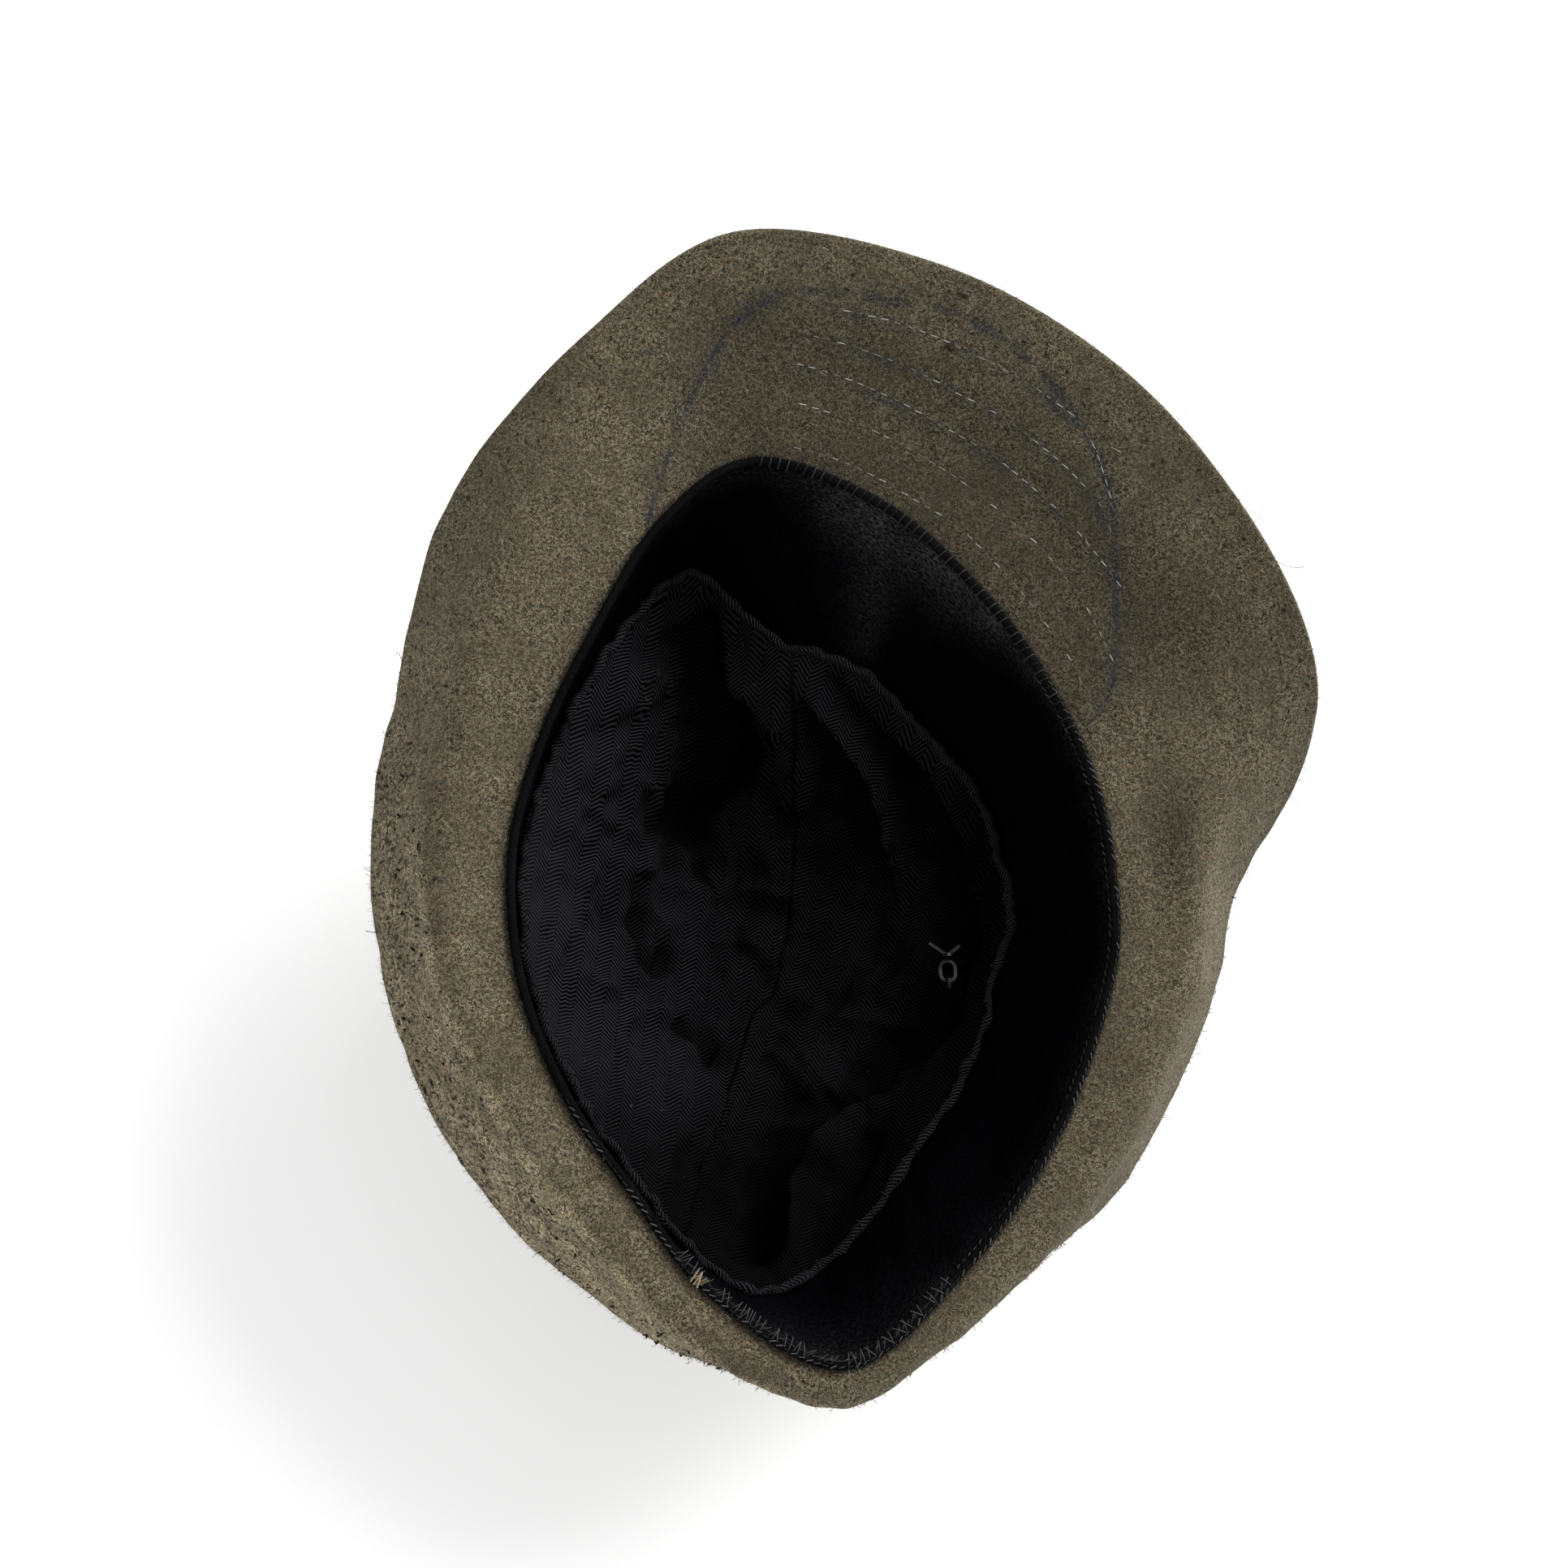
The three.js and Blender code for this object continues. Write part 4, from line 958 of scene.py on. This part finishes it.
def lining_piece():
    turn = np.arange(LINING_AROUND) / LINING_AROUND
    base, way = lining_base(turn)
    normal = grid_normals(base)
    places = plan_shares(base)
    folds, fold_shade_and_seam = fold_height(places)
    seam_gap, seam_side, _ = from_line(places, smooth_line(SEAM, 60))
    height = folds * (0.12 + 0.88 * smoothstep(way, -0.02, 0.09))
    height = height - 0.8 * np.exp(-((seam_gap / 0.55) ** 2)) + 0.7 * np.exp(-((seam_gap / 2.4) ** 2))
    height = height + wrinkle_height(base, way, turn)
    face = base + normal * height[..., None]
    back = face - LINING_THICKNESS * grid_normals(face)
    # Painted shade in the bottoms of deep folds, in low places and over the regions that the wall shades; the
    # seam line is darkened too
    fold_shade_and_seam = np.maximum(fold_shade_and_seam, 0.9 * np.exp(-((seam_gap / 0.4) ** 2)))
    fold_shade_and_seam = np.maximum(fold_shade_and_seam, 0.7 * smoothstep(-height, 0.4, 4))
    x, y = places[..., 0] / (OPENING_WIDTH / 2), places[..., 1] / (OPENING_LENGTH / 2)
    in_shade = 0.4 * smoothstep(x, -0.35, 0.05) + 0.58 * smoothstep(x, 0.2, 0.6)
    in_shade = in_shade + 0.75 * smoothstep(-y, 0.3, 0.65)
    fold_shade_and_seam = 1 - (1 - fold_shade_and_seam) * (1 - np.clip(in_shade, 0, 0.92))
    places = plan_shares(face)
    depth = (face - [0, 0, OPENING_HEIGHT]) @ UP
    swing = np.where(seam_side > 0, 5, -6) * DEGREE
    u = places[..., 0] * np.cos(swing) - places[..., 1] * np.sin(swing)
    v = places[..., 0] * np.sin(swing) + places[..., 1] * np.cos(swing) - 0.1 * depth
    plan = np.stack([u, v], -1)
    plan = np.concatenate([plan, plan[:, :1]], 1)
    uv = np.concatenate([plan[::-1], plan])
    centre = face[-1].mean(0)
    made = ring_mesh("herringbone_lining", np.concatenate([face[::-1], back]), dark_cotton, uv,
                     middles=[centre, centre - [0, 0, LINING_THICKNESS]],
                     values={"fold_shade_and_seam": np.concatenate([fold_shade_and_seam[::-1], fold_shade_and_seam])})
    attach(made, "root")
    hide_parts("lining")
    return made, face


lining, lining_face = lining_piece()

# Rolled hem along the lining's edge
hem_line = lining_face[0]
hem_path = hem_line + 0.35 * np.stack([rumple(hem_line, 8, 41 + n) for n in range(3)], -1)
hem_radius = HEM_RADIUS * (1 + 0.25 * rumple(hem_line, 4, 44))
hem_rings = tube_rings(hem_path, hem_radius, HEM_SIDES)
hem_across = np.arange(HEM_SIDES + 1) * 0.7
hem_along = np.arange(LINING_AROUND)[:, None] * 1.2
hem_uv = np.stack([hem_across + 0 * hem_along, hem_along + 0 * hem_across], -1)
hem = ring_mesh("rolled_hem", hem_rings, dark_cotton, hem_uv)
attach(hem, "root")


# Geometry nodes: threads along lines, and hairs on surfaces
def new_geometry_tree(name, sockets):
    tree = bpy.data.node_groups.new(name, "GeometryNodeTree")
    tree.interface.new_socket(name="Geometry", in_out="INPUT", socket_type="NodeSocketGeometry")
    for label, kind in sockets:
        tree.interface.new_socket(name=label, in_out="INPUT", socket_type="NodeSocket" + kind)
    tree.interface.new_socket(name="Geometry", in_out="OUTPUT", socket_type="NodeSocketGeometry")
    start = node(tree, "NodeGroupInput")
    return tree, start.outputs


def end_geometry_tree(tree, instances, given):
    shade = node(tree, "FunctionNodeRandomValue", {"Min": 0.0, "Max": 1.0, "Seed": given["Seed"]})
    stored = node(tree, "GeometryNodeStoreNamedAttribute",
                  {"Geometry": instances, "Name": "shade", "Value": shade.outputs[1]},
                  data_type="FLOAT", domain="INSTANCE")
    real = node(tree, "GeometryNodeRealizeInstances", {"Geometry": stored.outputs[0]})
    smooth = node(tree, "GeometryNodeSetShadeSmooth", {"Geometry": real.outputs[0]})
    painted = node(tree, "GeometryNodeSetMaterial",
                   {"Geometry": smooth.outputs[0], "Material": given["Material"]})
    node(tree, "NodeGroupOutput", {"Geometry": painted.outputs[0]})


def bent_tube(tree, start, middle, end, radius, steps, sides, caps):
    curve = node(tree, "GeometryNodeCurveQuadraticBezier",
                 {"Resolution": steps, "Start": start, "Middle": middle, "End": end})
    circle = node(tree, "GeometryNodeCurvePrimitiveCircle", {"Resolution": sides, "Radius": radius})
    return node(tree, "GeometryNodeCurveToMesh",
                {"Curve": curve.outputs[0], "Profile Curve": circle.outputs[0], "Fill Caps": caps}).outputs[0]


def triple(tree, x, y, z):
    return node(tree, "ShaderNodeCombineXYZ", {0: x, 1: y, 2: z}).outputs[0]


def build_stitch_tree():
    """One stitch after another along a line: each rises from the cloth and goes back into it."""
    tree, given = new_geometry_tree("thread_stitches", [
        ("Spacing", "Float"), ("Length", "Float"), ("Radius", "Float"), ("Arch", "Float"),
        ("Turned", "Float"), ("Uneven", "Float"), ("Seed", "Int"), ("Material", "Material")])
    curve = node(tree, "GeometryNodeMeshToCurve", {"Mesh": given["Geometry"]})
    points = node(tree, "GeometryNodeResampleCurve",
                  {"Curve": curve.outputs[0], "Length": given["Spacing"]}, mode="LENGTH")
    half = math_node(tree, "MULTIPLY", given["Length"], 0.5)
    sunk = math_node(tree, "MULTIPLY", given["Radius"], -0.6)
    top = math_node(tree, "MULTIPLY", given["Arch"], 2.0)
    shape = bent_tube(tree, triple(tree, math_node(tree, "MULTIPLY", half, -1.0), 0.0, sunk),
                      triple(tree, 0.0, 0.0, top), triple(tree, half, 0.0, sunk), given["Radius"], 4, 6, True)
    tangent = node(tree, "GeometryNodeInputTangent").outputs[0]
    facing = node(tree, "GeometryNodeInputNamedAttribute", {"Name": "facing"},
                  data_type="FLOAT_VECTOR").outputs[0]
    along = node(tree, "FunctionNodeAlignRotationToVector", {"Vector": tangent}, axis="X")
    upright = node(tree, "FunctionNodeAlignRotationToVector",
                   {"Rotation": along.outputs[0], "Vector": facing}, axis="Z", pivot_axis="X")
    low = math_node(tree, "MULTIPLY", given["Uneven"], -1.0)
    sway = node(tree, "FunctionNodeRandomValue", {2: low, 3: given["Uneven"], "Seed": given["Seed"]})
    spin = math_node(tree, "ADD", given["Turned"], sway.outputs[1])
    spun = node(tree, "FunctionNodeRotateRotation",
                {"Rotation": upright.outputs[0], "Rotate By": triple(tree, 0.0, 0.0, spin)},
                rotation_space="LOCAL")
    scale = node(tree, "FunctionNodeRandomValue", {2: 0.82, 3: 1.12, "Seed": given["Seed"]})
    copies = node(tree, "GeometryNodeInstanceOnPoints",
                  {"Points": points.outputs[0], "Instance": shape, "Rotation": spun.outputs[0],
                   "Scale": scale.outputs[1]})
    end_geometry_tree(tree, copies.outputs[0], given)
    return tree


def build_hair_tree():
    """Bent hairs scattered over a surface, each leaning its own way."""
    tree, given = new_geometry_tree("felt_hairs", [
        ("Density", "Float"), ("Length", "Float"), ("Radius", "Float"), ("Lift", "Float"),
        ("Steps", "Int"), ("Seed", "Int"), ("Material", "Material")])
    points = node(tree, "GeometryNodeDistributePointsOnFaces",
                  {"Mesh": given["Geometry"], "Density": given["Density"], "Seed": given["Seed"]})
    length = given["Length"]
    shape = bent_tube(tree, triple(tree, 0.0, 0.0, 0.0),
                      triple(tree, math_node(tree, "MULTIPLY", length, 0.35), 0.0,
                             math_node(tree, "MULTIPLY", length, 0.6)),
                      triple(tree, math_node(tree, "MULTIPLY", length, -0.1),
                             math_node(tree, "MULTIPLY", length, 0.25), length),
                      given["Radius"], given["Steps"], 3, False)
    sway = node(tree, "FunctionNodeRandomValue",
                {"Min": (-1, -1, -1), "Max": (1, 1, 1), "Seed": given["Seed"]}, data_type="FLOAT_VECTOR")
    lifted = node(tree, "ShaderNodeVectorMath", {0: points.outputs["Normal"]}, operation="SCALE")
    tree.links.new(given["Lift"], lifted.inputs["Scale"])
    way = node(tree, "ShaderNodeVectorMath", {0: lifted.outputs[0], 1: sway.outputs[0]}, operation="ADD")
    turned = node(tree, "FunctionNodeAlignRotationToVector", {"Vector": way.outputs[0]}, axis="Z")
    scale = node(tree, "FunctionNodeRandomValue", {2: 0.4, 3: 1.5, "Seed": given["Seed"]})
    copies = node(tree, "GeometryNodeInstanceOnPoints",
                  {"Points": points.outputs[0], "Instance": shape, "Rotation": turned.outputs[0],
                   "Scale": scale.outputs[1]})
    end_geometry_tree(tree, copies.outputs[0], given)
    return tree


def grown(name, source, tree, **values):
    """The plain mesh that a geometry tree makes from a source mesh."""
    carrier = bpy.data.objects.new(name + "_carrier", source)
    bpy.context.scene.collection.objects.link(carrier)
    modifier = carrier.modifiers.new("grow", "NODES")
    modifier.node_group = tree
    for item in tree.interface.items_tree:
        if item.in_out == "INPUT" and item.name in values:
            modifier[item.identifier] = values[item.name]
    graph = bpy.context.evaluated_depsgraph_get()
    mesh = bpy.data.meshes.new_from_object(carrier.evaluated_get(graph))
    mesh.name = name
    made = bpy.data.objects.new(name, mesh)
    bpy.context.scene.collection.objects.link(made)
    bpy.data.objects.remove(carrier)
    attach(made, "root")
    return made


def line_mesh(name, lines):
    """Lines as edges; each line is a pair of points and the way that the cloth faces there."""
    points = np.concatenate([points for points, _ in lines])
    facing = np.concatenate([facing for _, facing in lines])
    edges, first = [], 0
    for part, _ in lines:
        edges += [(n, n + 1) for n in range(first, first + len(part) - 1)]
        first += len(part)
    mesh = bpy.data.meshes.new(name)
    mesh.from_pydata(metres(points).tolist(), edges, [])
    layer = mesh.attributes.new("facing", "FLOAT_VECTOR", "POINT")
    layer.data.foreach_set("vector", np.asarray(facing, np.float32).ravel())
    return mesh


def surface_mesh(name, grid, values=None, closed=True):
    """A grid of points as faces, closed round the hat or not; its values go on to what grows on it."""
    count, around = grid.shape[:2]
    columns = np.arange(around if closed else around - 1)
    i, j = (g.ravel() for g in np.meshgrid(np.arange(count - 1), columns, indexing="ij"))
    beside = (j + 1) % around
    row, next_row = i * around, (i + 1) * around
    quads = np.stack([row + j, next_row + j, next_row + beside, row + beside], -1)
    mesh = bpy.data.meshes.new(name)
    mesh.from_pydata(metres(grid.reshape(-1, 3)).tolist(), [], quads.tolist())
    for key, data in (values or {}).items():
        stored = mesh.attributes.new(key, "FLOAT", "POINT")
        stored.data.foreach_set("value", np.ravel(data).astype(np.float32))
    return mesh


stitch_tree = build_stitch_tree()
hair_tree = build_hair_tree()


def on_face(face, normal, turn, share):
    """Points and outward directions on a grid of rings, read between its points."""
    count, around = face.shape[:2]
    column_place = np.mod(turn, 1) * around
    row_place = np.clip(share, 0, 1) * (count - 1)
    j = np.floor(column_place).astype(int)
    i = np.minimum(np.floor(row_place).astype(int), count - 2)
    f, g = (column_place - j)[:, None], (row_place - i)[:, None]
    k = (j + 1) % around
    out = []
    for grid in (face, normal):
        low = grid[i, j % around] * (1 - f) + grid[i, k] * f
        high = grid[i + 1, j % around] * (1 - f) + grid[i + 1, k] * f
        out.append(low * (1 - g) + high * g)
    return out[0], unit(out[1])


def brim_line(turn, distance, sunk=0.05):
    reach = brim_length(turn) - EDGE_ROUND
    points, normal = on_face(brim_face, brim_normal, turn, distance / reach)
    return points + normal * sunk, -normal


def opening_line(turn, aside, height):
    """A line round the opening, mm outside it and mm above it, facing up."""
    place = opening_offset(turn, aside + 0 * turn)
    return lay(place[:, 0], place[:, 1], height + 0 * turn), np.tile(UP, (len(turn), 1))


def spread(rows):
    """A smooth line through rows of turn and distance."""
    turn = np.array([row[0] for row in rows])
    distance = np.array([row[1] for row in rows])
    order = np.argsort(turn)
    fine = np.linspace(turn.min(), turn.max(), 160)
    wave = np.interp(fine, turn[order], distance[order])
    for _ in range(6):
        wave[1:-1] = (wave[:-2] + 2 * wave[1:-1] + wave[2:]) / 4
    return fine, wave


# Stitching of the stiffened front: rows of turn and mm out from the opening
FRONT_ROWS = [
    [(0.199, 38.9), (0.212, 44.2), (0.222, 46.5), (0.239, 45.6), (0.26, 43.1), (0.286, 41.2), (0.307, 38.6)],
    [(0.192, 33.6), (0.2, 35.7), (0.218, 36), (0.242, 35.2), (0.261, 32.9), (0.286, 32.3), (0.308, 31.3)],
    [(0.176, 27), (0.21, 27.2), (0.239, 26.3), (0.264, 24), (0.296, 24), (0.317, 23.7)],
    [(0.156, 15.7), (0.181, 17.6), (0.208, 17.9), (0.244, 16.4), (0.268, 14.9), (0.312, 14.5)],
    [(0.151, 6), (0.165, 7.1), (0.203, 7), (0.242, 7), (0.267, 4.7), (0.294, 4.6), (0.314, 3.8)],
]
hem_thread = thread("hem_thread", (0.001, 0.001, 0.001), (0.01, 0.009, 0.01))
burr_thread = thread("burr_thread", (0.008, 0.006, 0.004), (0.03, 0.022, 0.014))
pale_thread = thread("pale_thread", (0.12, 0.115, 0.09), (0.5, 0.52, 0.5))
green_thread = thread("green_thread", (0.04, 0.05, 0.043), (0.15, 0.18, 0.155))
black_thread = thread("black_thread", (0.004, 0.004, 0.005), (0.03, 0.03, 0.032), 0.5)
grey_thread = thread("grey_thread", (0.008, 0.008, 0.009), (0.085, 0.085, 0.088), 0.6)
tan_thread = thread("tan_thread", (0.16, 0.12, 0.07), (0.4, 0.32, 0.22))

front_lines = [brim_line(*spread(rows)) for rows in FRONT_ROWS]
grown("front_stitches", line_mesh("front_rows", front_lines), stitch_tree, Spacing=0.003, Length=0.0018,
      Radius=0.0001, Arch=0.00012, Turned=0.0, Uneven=0.09, Seed=3, Material=pale_thread)

# Stitches along the brim's edge, and dark dots in rows where other stitches left holes: painted shade for the
# holes
edge_lines, hole_lines = [], []
for inset in (3.2, 7.8):
    turn = np.linspace(0.1, 0.46, 420)
    edge_lines.append(brim_line(turn, brim_length(turn) - inset + 0.2 * np.sin(turn * 260)))
for first, last, inset in ((0.08, 0.5, 8.3), (0.33, 0.5, 5.2), (0.1, 0.19, 3.4), (0.205, 0.3, 12)):
    turn = np.linspace(first, last, 300)
    hole_lines.append(brim_line(turn, brim_length(turn) - inset + 0.5 * np.sin(turn * 190), -0.08))
grown("needle_hole_shade", line_mesh("hole_rows", hole_lines), stitch_tree, Spacing=0.0062, Length=0.001,
      Radius=0.00022, Arch=0.00002, Turned=0.5, Uneven=1.2, Seed=4, Material=burr_thread)
grown("edge_stitches", line_mesh("edge_rows", edge_lines), stitch_tree, Spacing=0.0036, Length=0.0019,
      Radius=0.00012, Arch=0.00006, Turned=0.0, Uneven=0.07, Seed=5, Material=green_thread)

# Burrs caught in the felt, as turn and mm out
BURR_SPOTS = [(0.635, 38.3), (0.636, 43.7), (0.661, 46.1), (0.669, 37.8), (0.267, 54.2), (0.267, 41.4),
              (0.56, 21.4)]
burr_lines = []
for turn, distance in BURR_SPOTS:
    turn = turn + np.linspace(-0.0011, 0.0011, 5)
    burr_lines.append(brim_line(turn, distance + 0 * turn, -0.15))
grown("burrs", line_mesh("burr_spots", burr_lines), stitch_tree, Spacing=0.0002, Length=0.0012, Radius=0.0001,
      Arch=0.0003, Turned=0.0, Uneven=3.0, Seed=6, Material=burr_thread)

# Whip stitches over the welt in front, and the double row beside it on the right and at the back
welt_top = opening_line(np.linspace(0.14, 0.33, 600), -WELT_RADIUS, WELT_RADIUS + SEAT_GAP)
grown("welt_stitches", line_mesh("welt_row", [welt_top]), stitch_tree, Spacing=0.0021, Length=0.0027,
      Radius=0.00018, Arch=0.00155, Turned=math.pi / 2 - 0.15, Uneven=0.12, Seed=7, Material=black_thread)


def band_line(turn, down, proud):
    """A line along the sweatband, mm down from its edge and mm proud of it."""
    face_point = band_place(turn, down + 0 * turn)
    below = band_place(turn, down + 1 + 0 * turn)
    ahead = band_place(turn + 0.002, down + 0 * turn)
    way = unit(np.cross(ahead - face_point, below - face_point))
    inwards = np.concatenate([-unit(opening(turn)), np.zeros((len(turn), 1))], 1)
    way = way * np.sign((way * inwards).sum(1))[:, None]
    return face_point + proud * way, way


turn = np.mod(np.linspace(-0.33, 0.17, 800), 1)
beside = [band_line(turn, 0.5, 0.3), opening_line(turn, -0.55, 1.86 * WELT_RADIUS + SEAT_GAP)]
grown("double_stitches", line_mesh("double_row", beside), stitch_tree, Spacing=0.0019, Length=0.0015,
      Radius=0.00015, Arch=0.0002, Turned=0.3, Uneven=0.35, Seed=9, Material=grey_thread)

# Lint between welt and felt, and threads frayed out at the back
lint_line = opening_line(np.linspace(0, 1, 1400), 0.15, 0.75)
grown("welt_lint", line_mesh("lint_row", [lint_line]), stitch_tree, Spacing=0.0011, Length=0.0017,
      Radius=0.0001, Arch=0.0003, Turned=0.9, Uneven=1.5, Seed=12, Material=black_thread)
frayed_line = opening_line(np.linspace(0.755, 0.88, 200), -WELT_RADIUS - 0.8, 1.6)
grown("frayed_threads", line_mesh("frayed_row", [frayed_line]), stitch_tree, Spacing=0.0007, Length=0.0036,
      Radius=0.00009, Arch=0.0011, Turned=0.8, Uneven=1.4, Seed=10, Material=grey_thread)

# Stitches along the lining's hem
hem_way = unit(UP - 0.8 * unit(hem_path - hem_path.mean(0)))
hem_top = hem_path + hem_radius[:, None] * hem_way
hem_row = (np.concatenate([hem_top, hem_top[:1]]), np.concatenate([hem_way, hem_way[:1]]))
grown("hem_stitches", line_mesh("hem_row", [hem_row]), stitch_tree, Spacing=0.0046, Length=0.0022,
      Radius=0.00014, Arch=0.0002, Turned=0.9, Uneven=0.6, Seed=11, Material=hem_thread)

# The pale tack at the sweatband's join
tack_line = opening_line(np.linspace(0.766, 0.7705, 8), -1.2, 2.3)
grown("tan_tack", line_mesh("tack_row", [tack_line]), stitch_tree, Spacing=0.0005, Length=0.0034,
      Radius=0.0002, Arch=0.0004, Turned=math.pi / 2, Uneven=0.5, Seed=13, Material=tan_thread)


# Hairs of the felt: short ones all over the brim's upper face, longer curly ones, and a fuzzy edge
def hair(name, dark, light):
    made, tree, shader = new_material(name)
    tone = weighted_sum(tree, (attribute(tree, "shade"), 0.8), (noise(tree, object_place(tree), 300, 2), 0.2))
    color = ramp(tree, tone, (0.1, dark), (0.9, light))
    # The brim's marks go on to its hairs: painted shade and plain darkening, then painted light and a painted
    # highlight with some fading
    color = tinted(tree, attribute(tree, "shade_and_darkening"), color, SHADE_AND_DARKENING_TINT)
    color = mix(tree, attribute(tree, "fade_and_painted_light"), color, light)
    tree.links.new(color, shader.inputs["Base Color"])
    shader.inputs["Roughness"].default_value = 0.8
    shader.inputs["Specular IOR Level"].default_value = 0.2
    return made


felt_hair = hair("felt_hair", (0.035, 0.028, 0.016), (0.31, 0.272, 0.185))
# The crown's hairs are darker than the brim's: painted shade for the crown under the brim
shaded_crown_hair = hair("shaded_crown_hair", (0.03, 0.024, 0.014), (0.23, 0.2, 0.135))
stray_hair = hair("stray_hair", (0.02, 0.016, 0.012), (0.09, 0.075, 0.05))
pale_hair = hair("pale_hair", (0.1, 0.088, 0.06), (0.46, 0.42, 0.32))
face_mesh = surface_mesh("brim_top", brim_face, face_marks)
grown("short_nap", face_mesh, hair_tree, Density=0.3e6, Length=0.0009, Radius=0.00006, Lift=0.3, Steps=1,
      Seed=21, Material=felt_hair)
grown("curly_hairs", face_mesh, hair_tree, Density=0.03e6, Length=0.0017, Radius=0.00005, Lift=0.5, Steps=4,
      Seed=22, Material=pale_hair)
grown("edge_fuzz", surface_mesh("brim_edge", brim_rim), hair_tree, Density=1.5e6, Length=0.0011,
      Radius=0.00003, Lift=0.8, Steps=3, Seed=23, Material=pale_hair)
grown("stray_hairs", surface_mesh("brim_rim", brim_rim), hair_tree, Density=5000, Length=0.0055,
      Radius=0.00006, Lift=1.3, Steps=5, Seed=29, Material=stray_hair)
grown("crown_nap", surface_mesh("crown_face", crown_outside[:30]), hair_tree, Density=0.08e6, Length=0.0009,
      Radius=0.000045, Lift=0.5, Steps=1, Seed=24, Material=shaded_crown_hair)

# Pale hairs along the crest: a painted highlight on its fold, with nap paled by rubbing
turn = np.linspace(0.57, 0.79, 220)
crest_middle = np.interp(turn, turns, CREST_OUT)
strip = np.array([brim_line(turn, crest_middle + aside, 0.0)[0] for aside in np.linspace(-1.2, 1.2, 5)])
grown("crest_highlight_nap", surface_mesh("crest_strip", strip, closed=False), hair_tree, Density=1.1e6,
      Length=0.0011, Radius=0.00008, Lift=0.4, Steps=1, Seed=31, Material=pale_hair)

# Dark specks caught in the felt: many on the outer left side, a few along the front and right edge.
# The rows count out from the opening and the columns round the brim from the wearer's right.
left_outer = brim_face[20:59, AROUND // 2 : AROUND * 5 // 6]
right_outer = brim_face[44:59, AROUND // 27 : AROUND * 10 // 27]
grown("large_specks", surface_mesh("left_specks", left_outer, closed=False), hair_tree, Density=0.04e6,
      Length=0.0008, Radius=0.00026, Lift=0.1, Steps=2, Seed=25, Material=burr_thread)
grown("small_specks", surface_mesh("left_dots", left_outer, closed=False), hair_tree, Density=0.15e6,
      Length=0.0005, Radius=0.00012, Lift=0.1, Steps=1, Seed=26, Material=burr_thread)
grown("edge_specks", surface_mesh("right_dots", right_outer, closed=False), hair_tree, Density=0.03e6,
      Length=0.0006, Radius=0.00013, Lift=0.1, Steps=1, Seed=27, Material=burr_thread)

# Floor, light and camera
FLOOR_GLOW = 0.46
SKY_STRENGTH = 0.38
HAT_MIDDLE = (0, 0, 0.08)
PHOTO_WIDTH = 1907
MM_PER_PIXEL = 0.195
SENSOR_WIDTH = 36
CAMERA_TURN = 13 * DEGREE
CAMERA_RISE = 68 * DEGREE
CAMERA_DISTANCE = 1.0
CAMERA_TARGET = (-17.3, 35.2, 80)

floor_material, tree, shader = new_material("pale_sweep")
shader.inputs["Base Color"].default_value = (0.93, 0.93, 0.935, 1)
shader.inputs["Roughness"].default_value = 0.9
shader.inputs["Specular IOR Level"].default_value = 0.0
shader.inputs["Emission Color"].default_value = (1, 1, 1, 1)
shader.inputs["Emission Strength"].default_value = FLOOR_GLOW
bpy.ops.mesh.primitive_plane_add(size=8, location=(0, 0, -0.0005))
floor = bpy.context.object
floor.name = "floor"
floor.data.materials.append(floor_material)

world = bpy.data.worlds.new("studio")
bpy.context.scene.world = world
world.use_nodes = True
world.node_tree.nodes["Background"].inputs["Color"].default_value = (1, 1, 1, 1)
world.node_tree.nodes["Background"].inputs["Strength"].default_value = SKY_STRENGTH


def softbox(name, place, size, power):
    data = bpy.data.lights.new(name, "AREA")
    data.shape = "RECTANGLE"
    data.size, data.size_y = size
    data.energy = power
    lamp = bpy.data.objects.new(name, data)
    bpy.context.scene.collection.objects.link(lamp)
    lamp.location = place
    lamp.rotation_euler = (Vector(HAT_MIDDLE) - Vector(place)).to_track_quat("-Z", "Y").to_euler()


softbox("key", (1.15, 1.2, 1.35), (1.5, 1.5), 48)
softbox("fill", (-1.3, -1.2, 0.6), (1.4, 1.0), 8.5)

camera_data = bpy.data.cameras.new("camera")
camera_data.sensor_fit = "HORIZONTAL"
camera_data.sensor_width = SENSOR_WIDTH
camera_data.lens = SENSOR_WIDTH * (1000 * CAMERA_DISTANCE / MM_PER_PIXEL) / PHOTO_WIDTH
camera = bpy.data.objects.new("camera", camera_data)
bpy.context.scene.collection.objects.link(camera)
away = Vector((math.sin(CAMERA_TURN) * math.cos(CAMERA_RISE),
               -math.cos(CAMERA_TURN) * math.cos(CAMERA_RISE), math.sin(CAMERA_RISE)))
camera.location = Vector(metres(CAMERA_TARGET)) + away * CAMERA_DISTANCE
camera.rotation_euler = (-away).to_track_quat("-Z", "Y").to_euler()
bpy.context.scene.camera = camera
bpy.context.scene.view_settings.view_transform = "Standard"

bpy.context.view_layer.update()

for cad_node in ("stud", "split_pin", "ring"):
    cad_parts[cad_node].data.materials.clear()
    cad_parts[cad_node].data.materials.append(worn_steel)
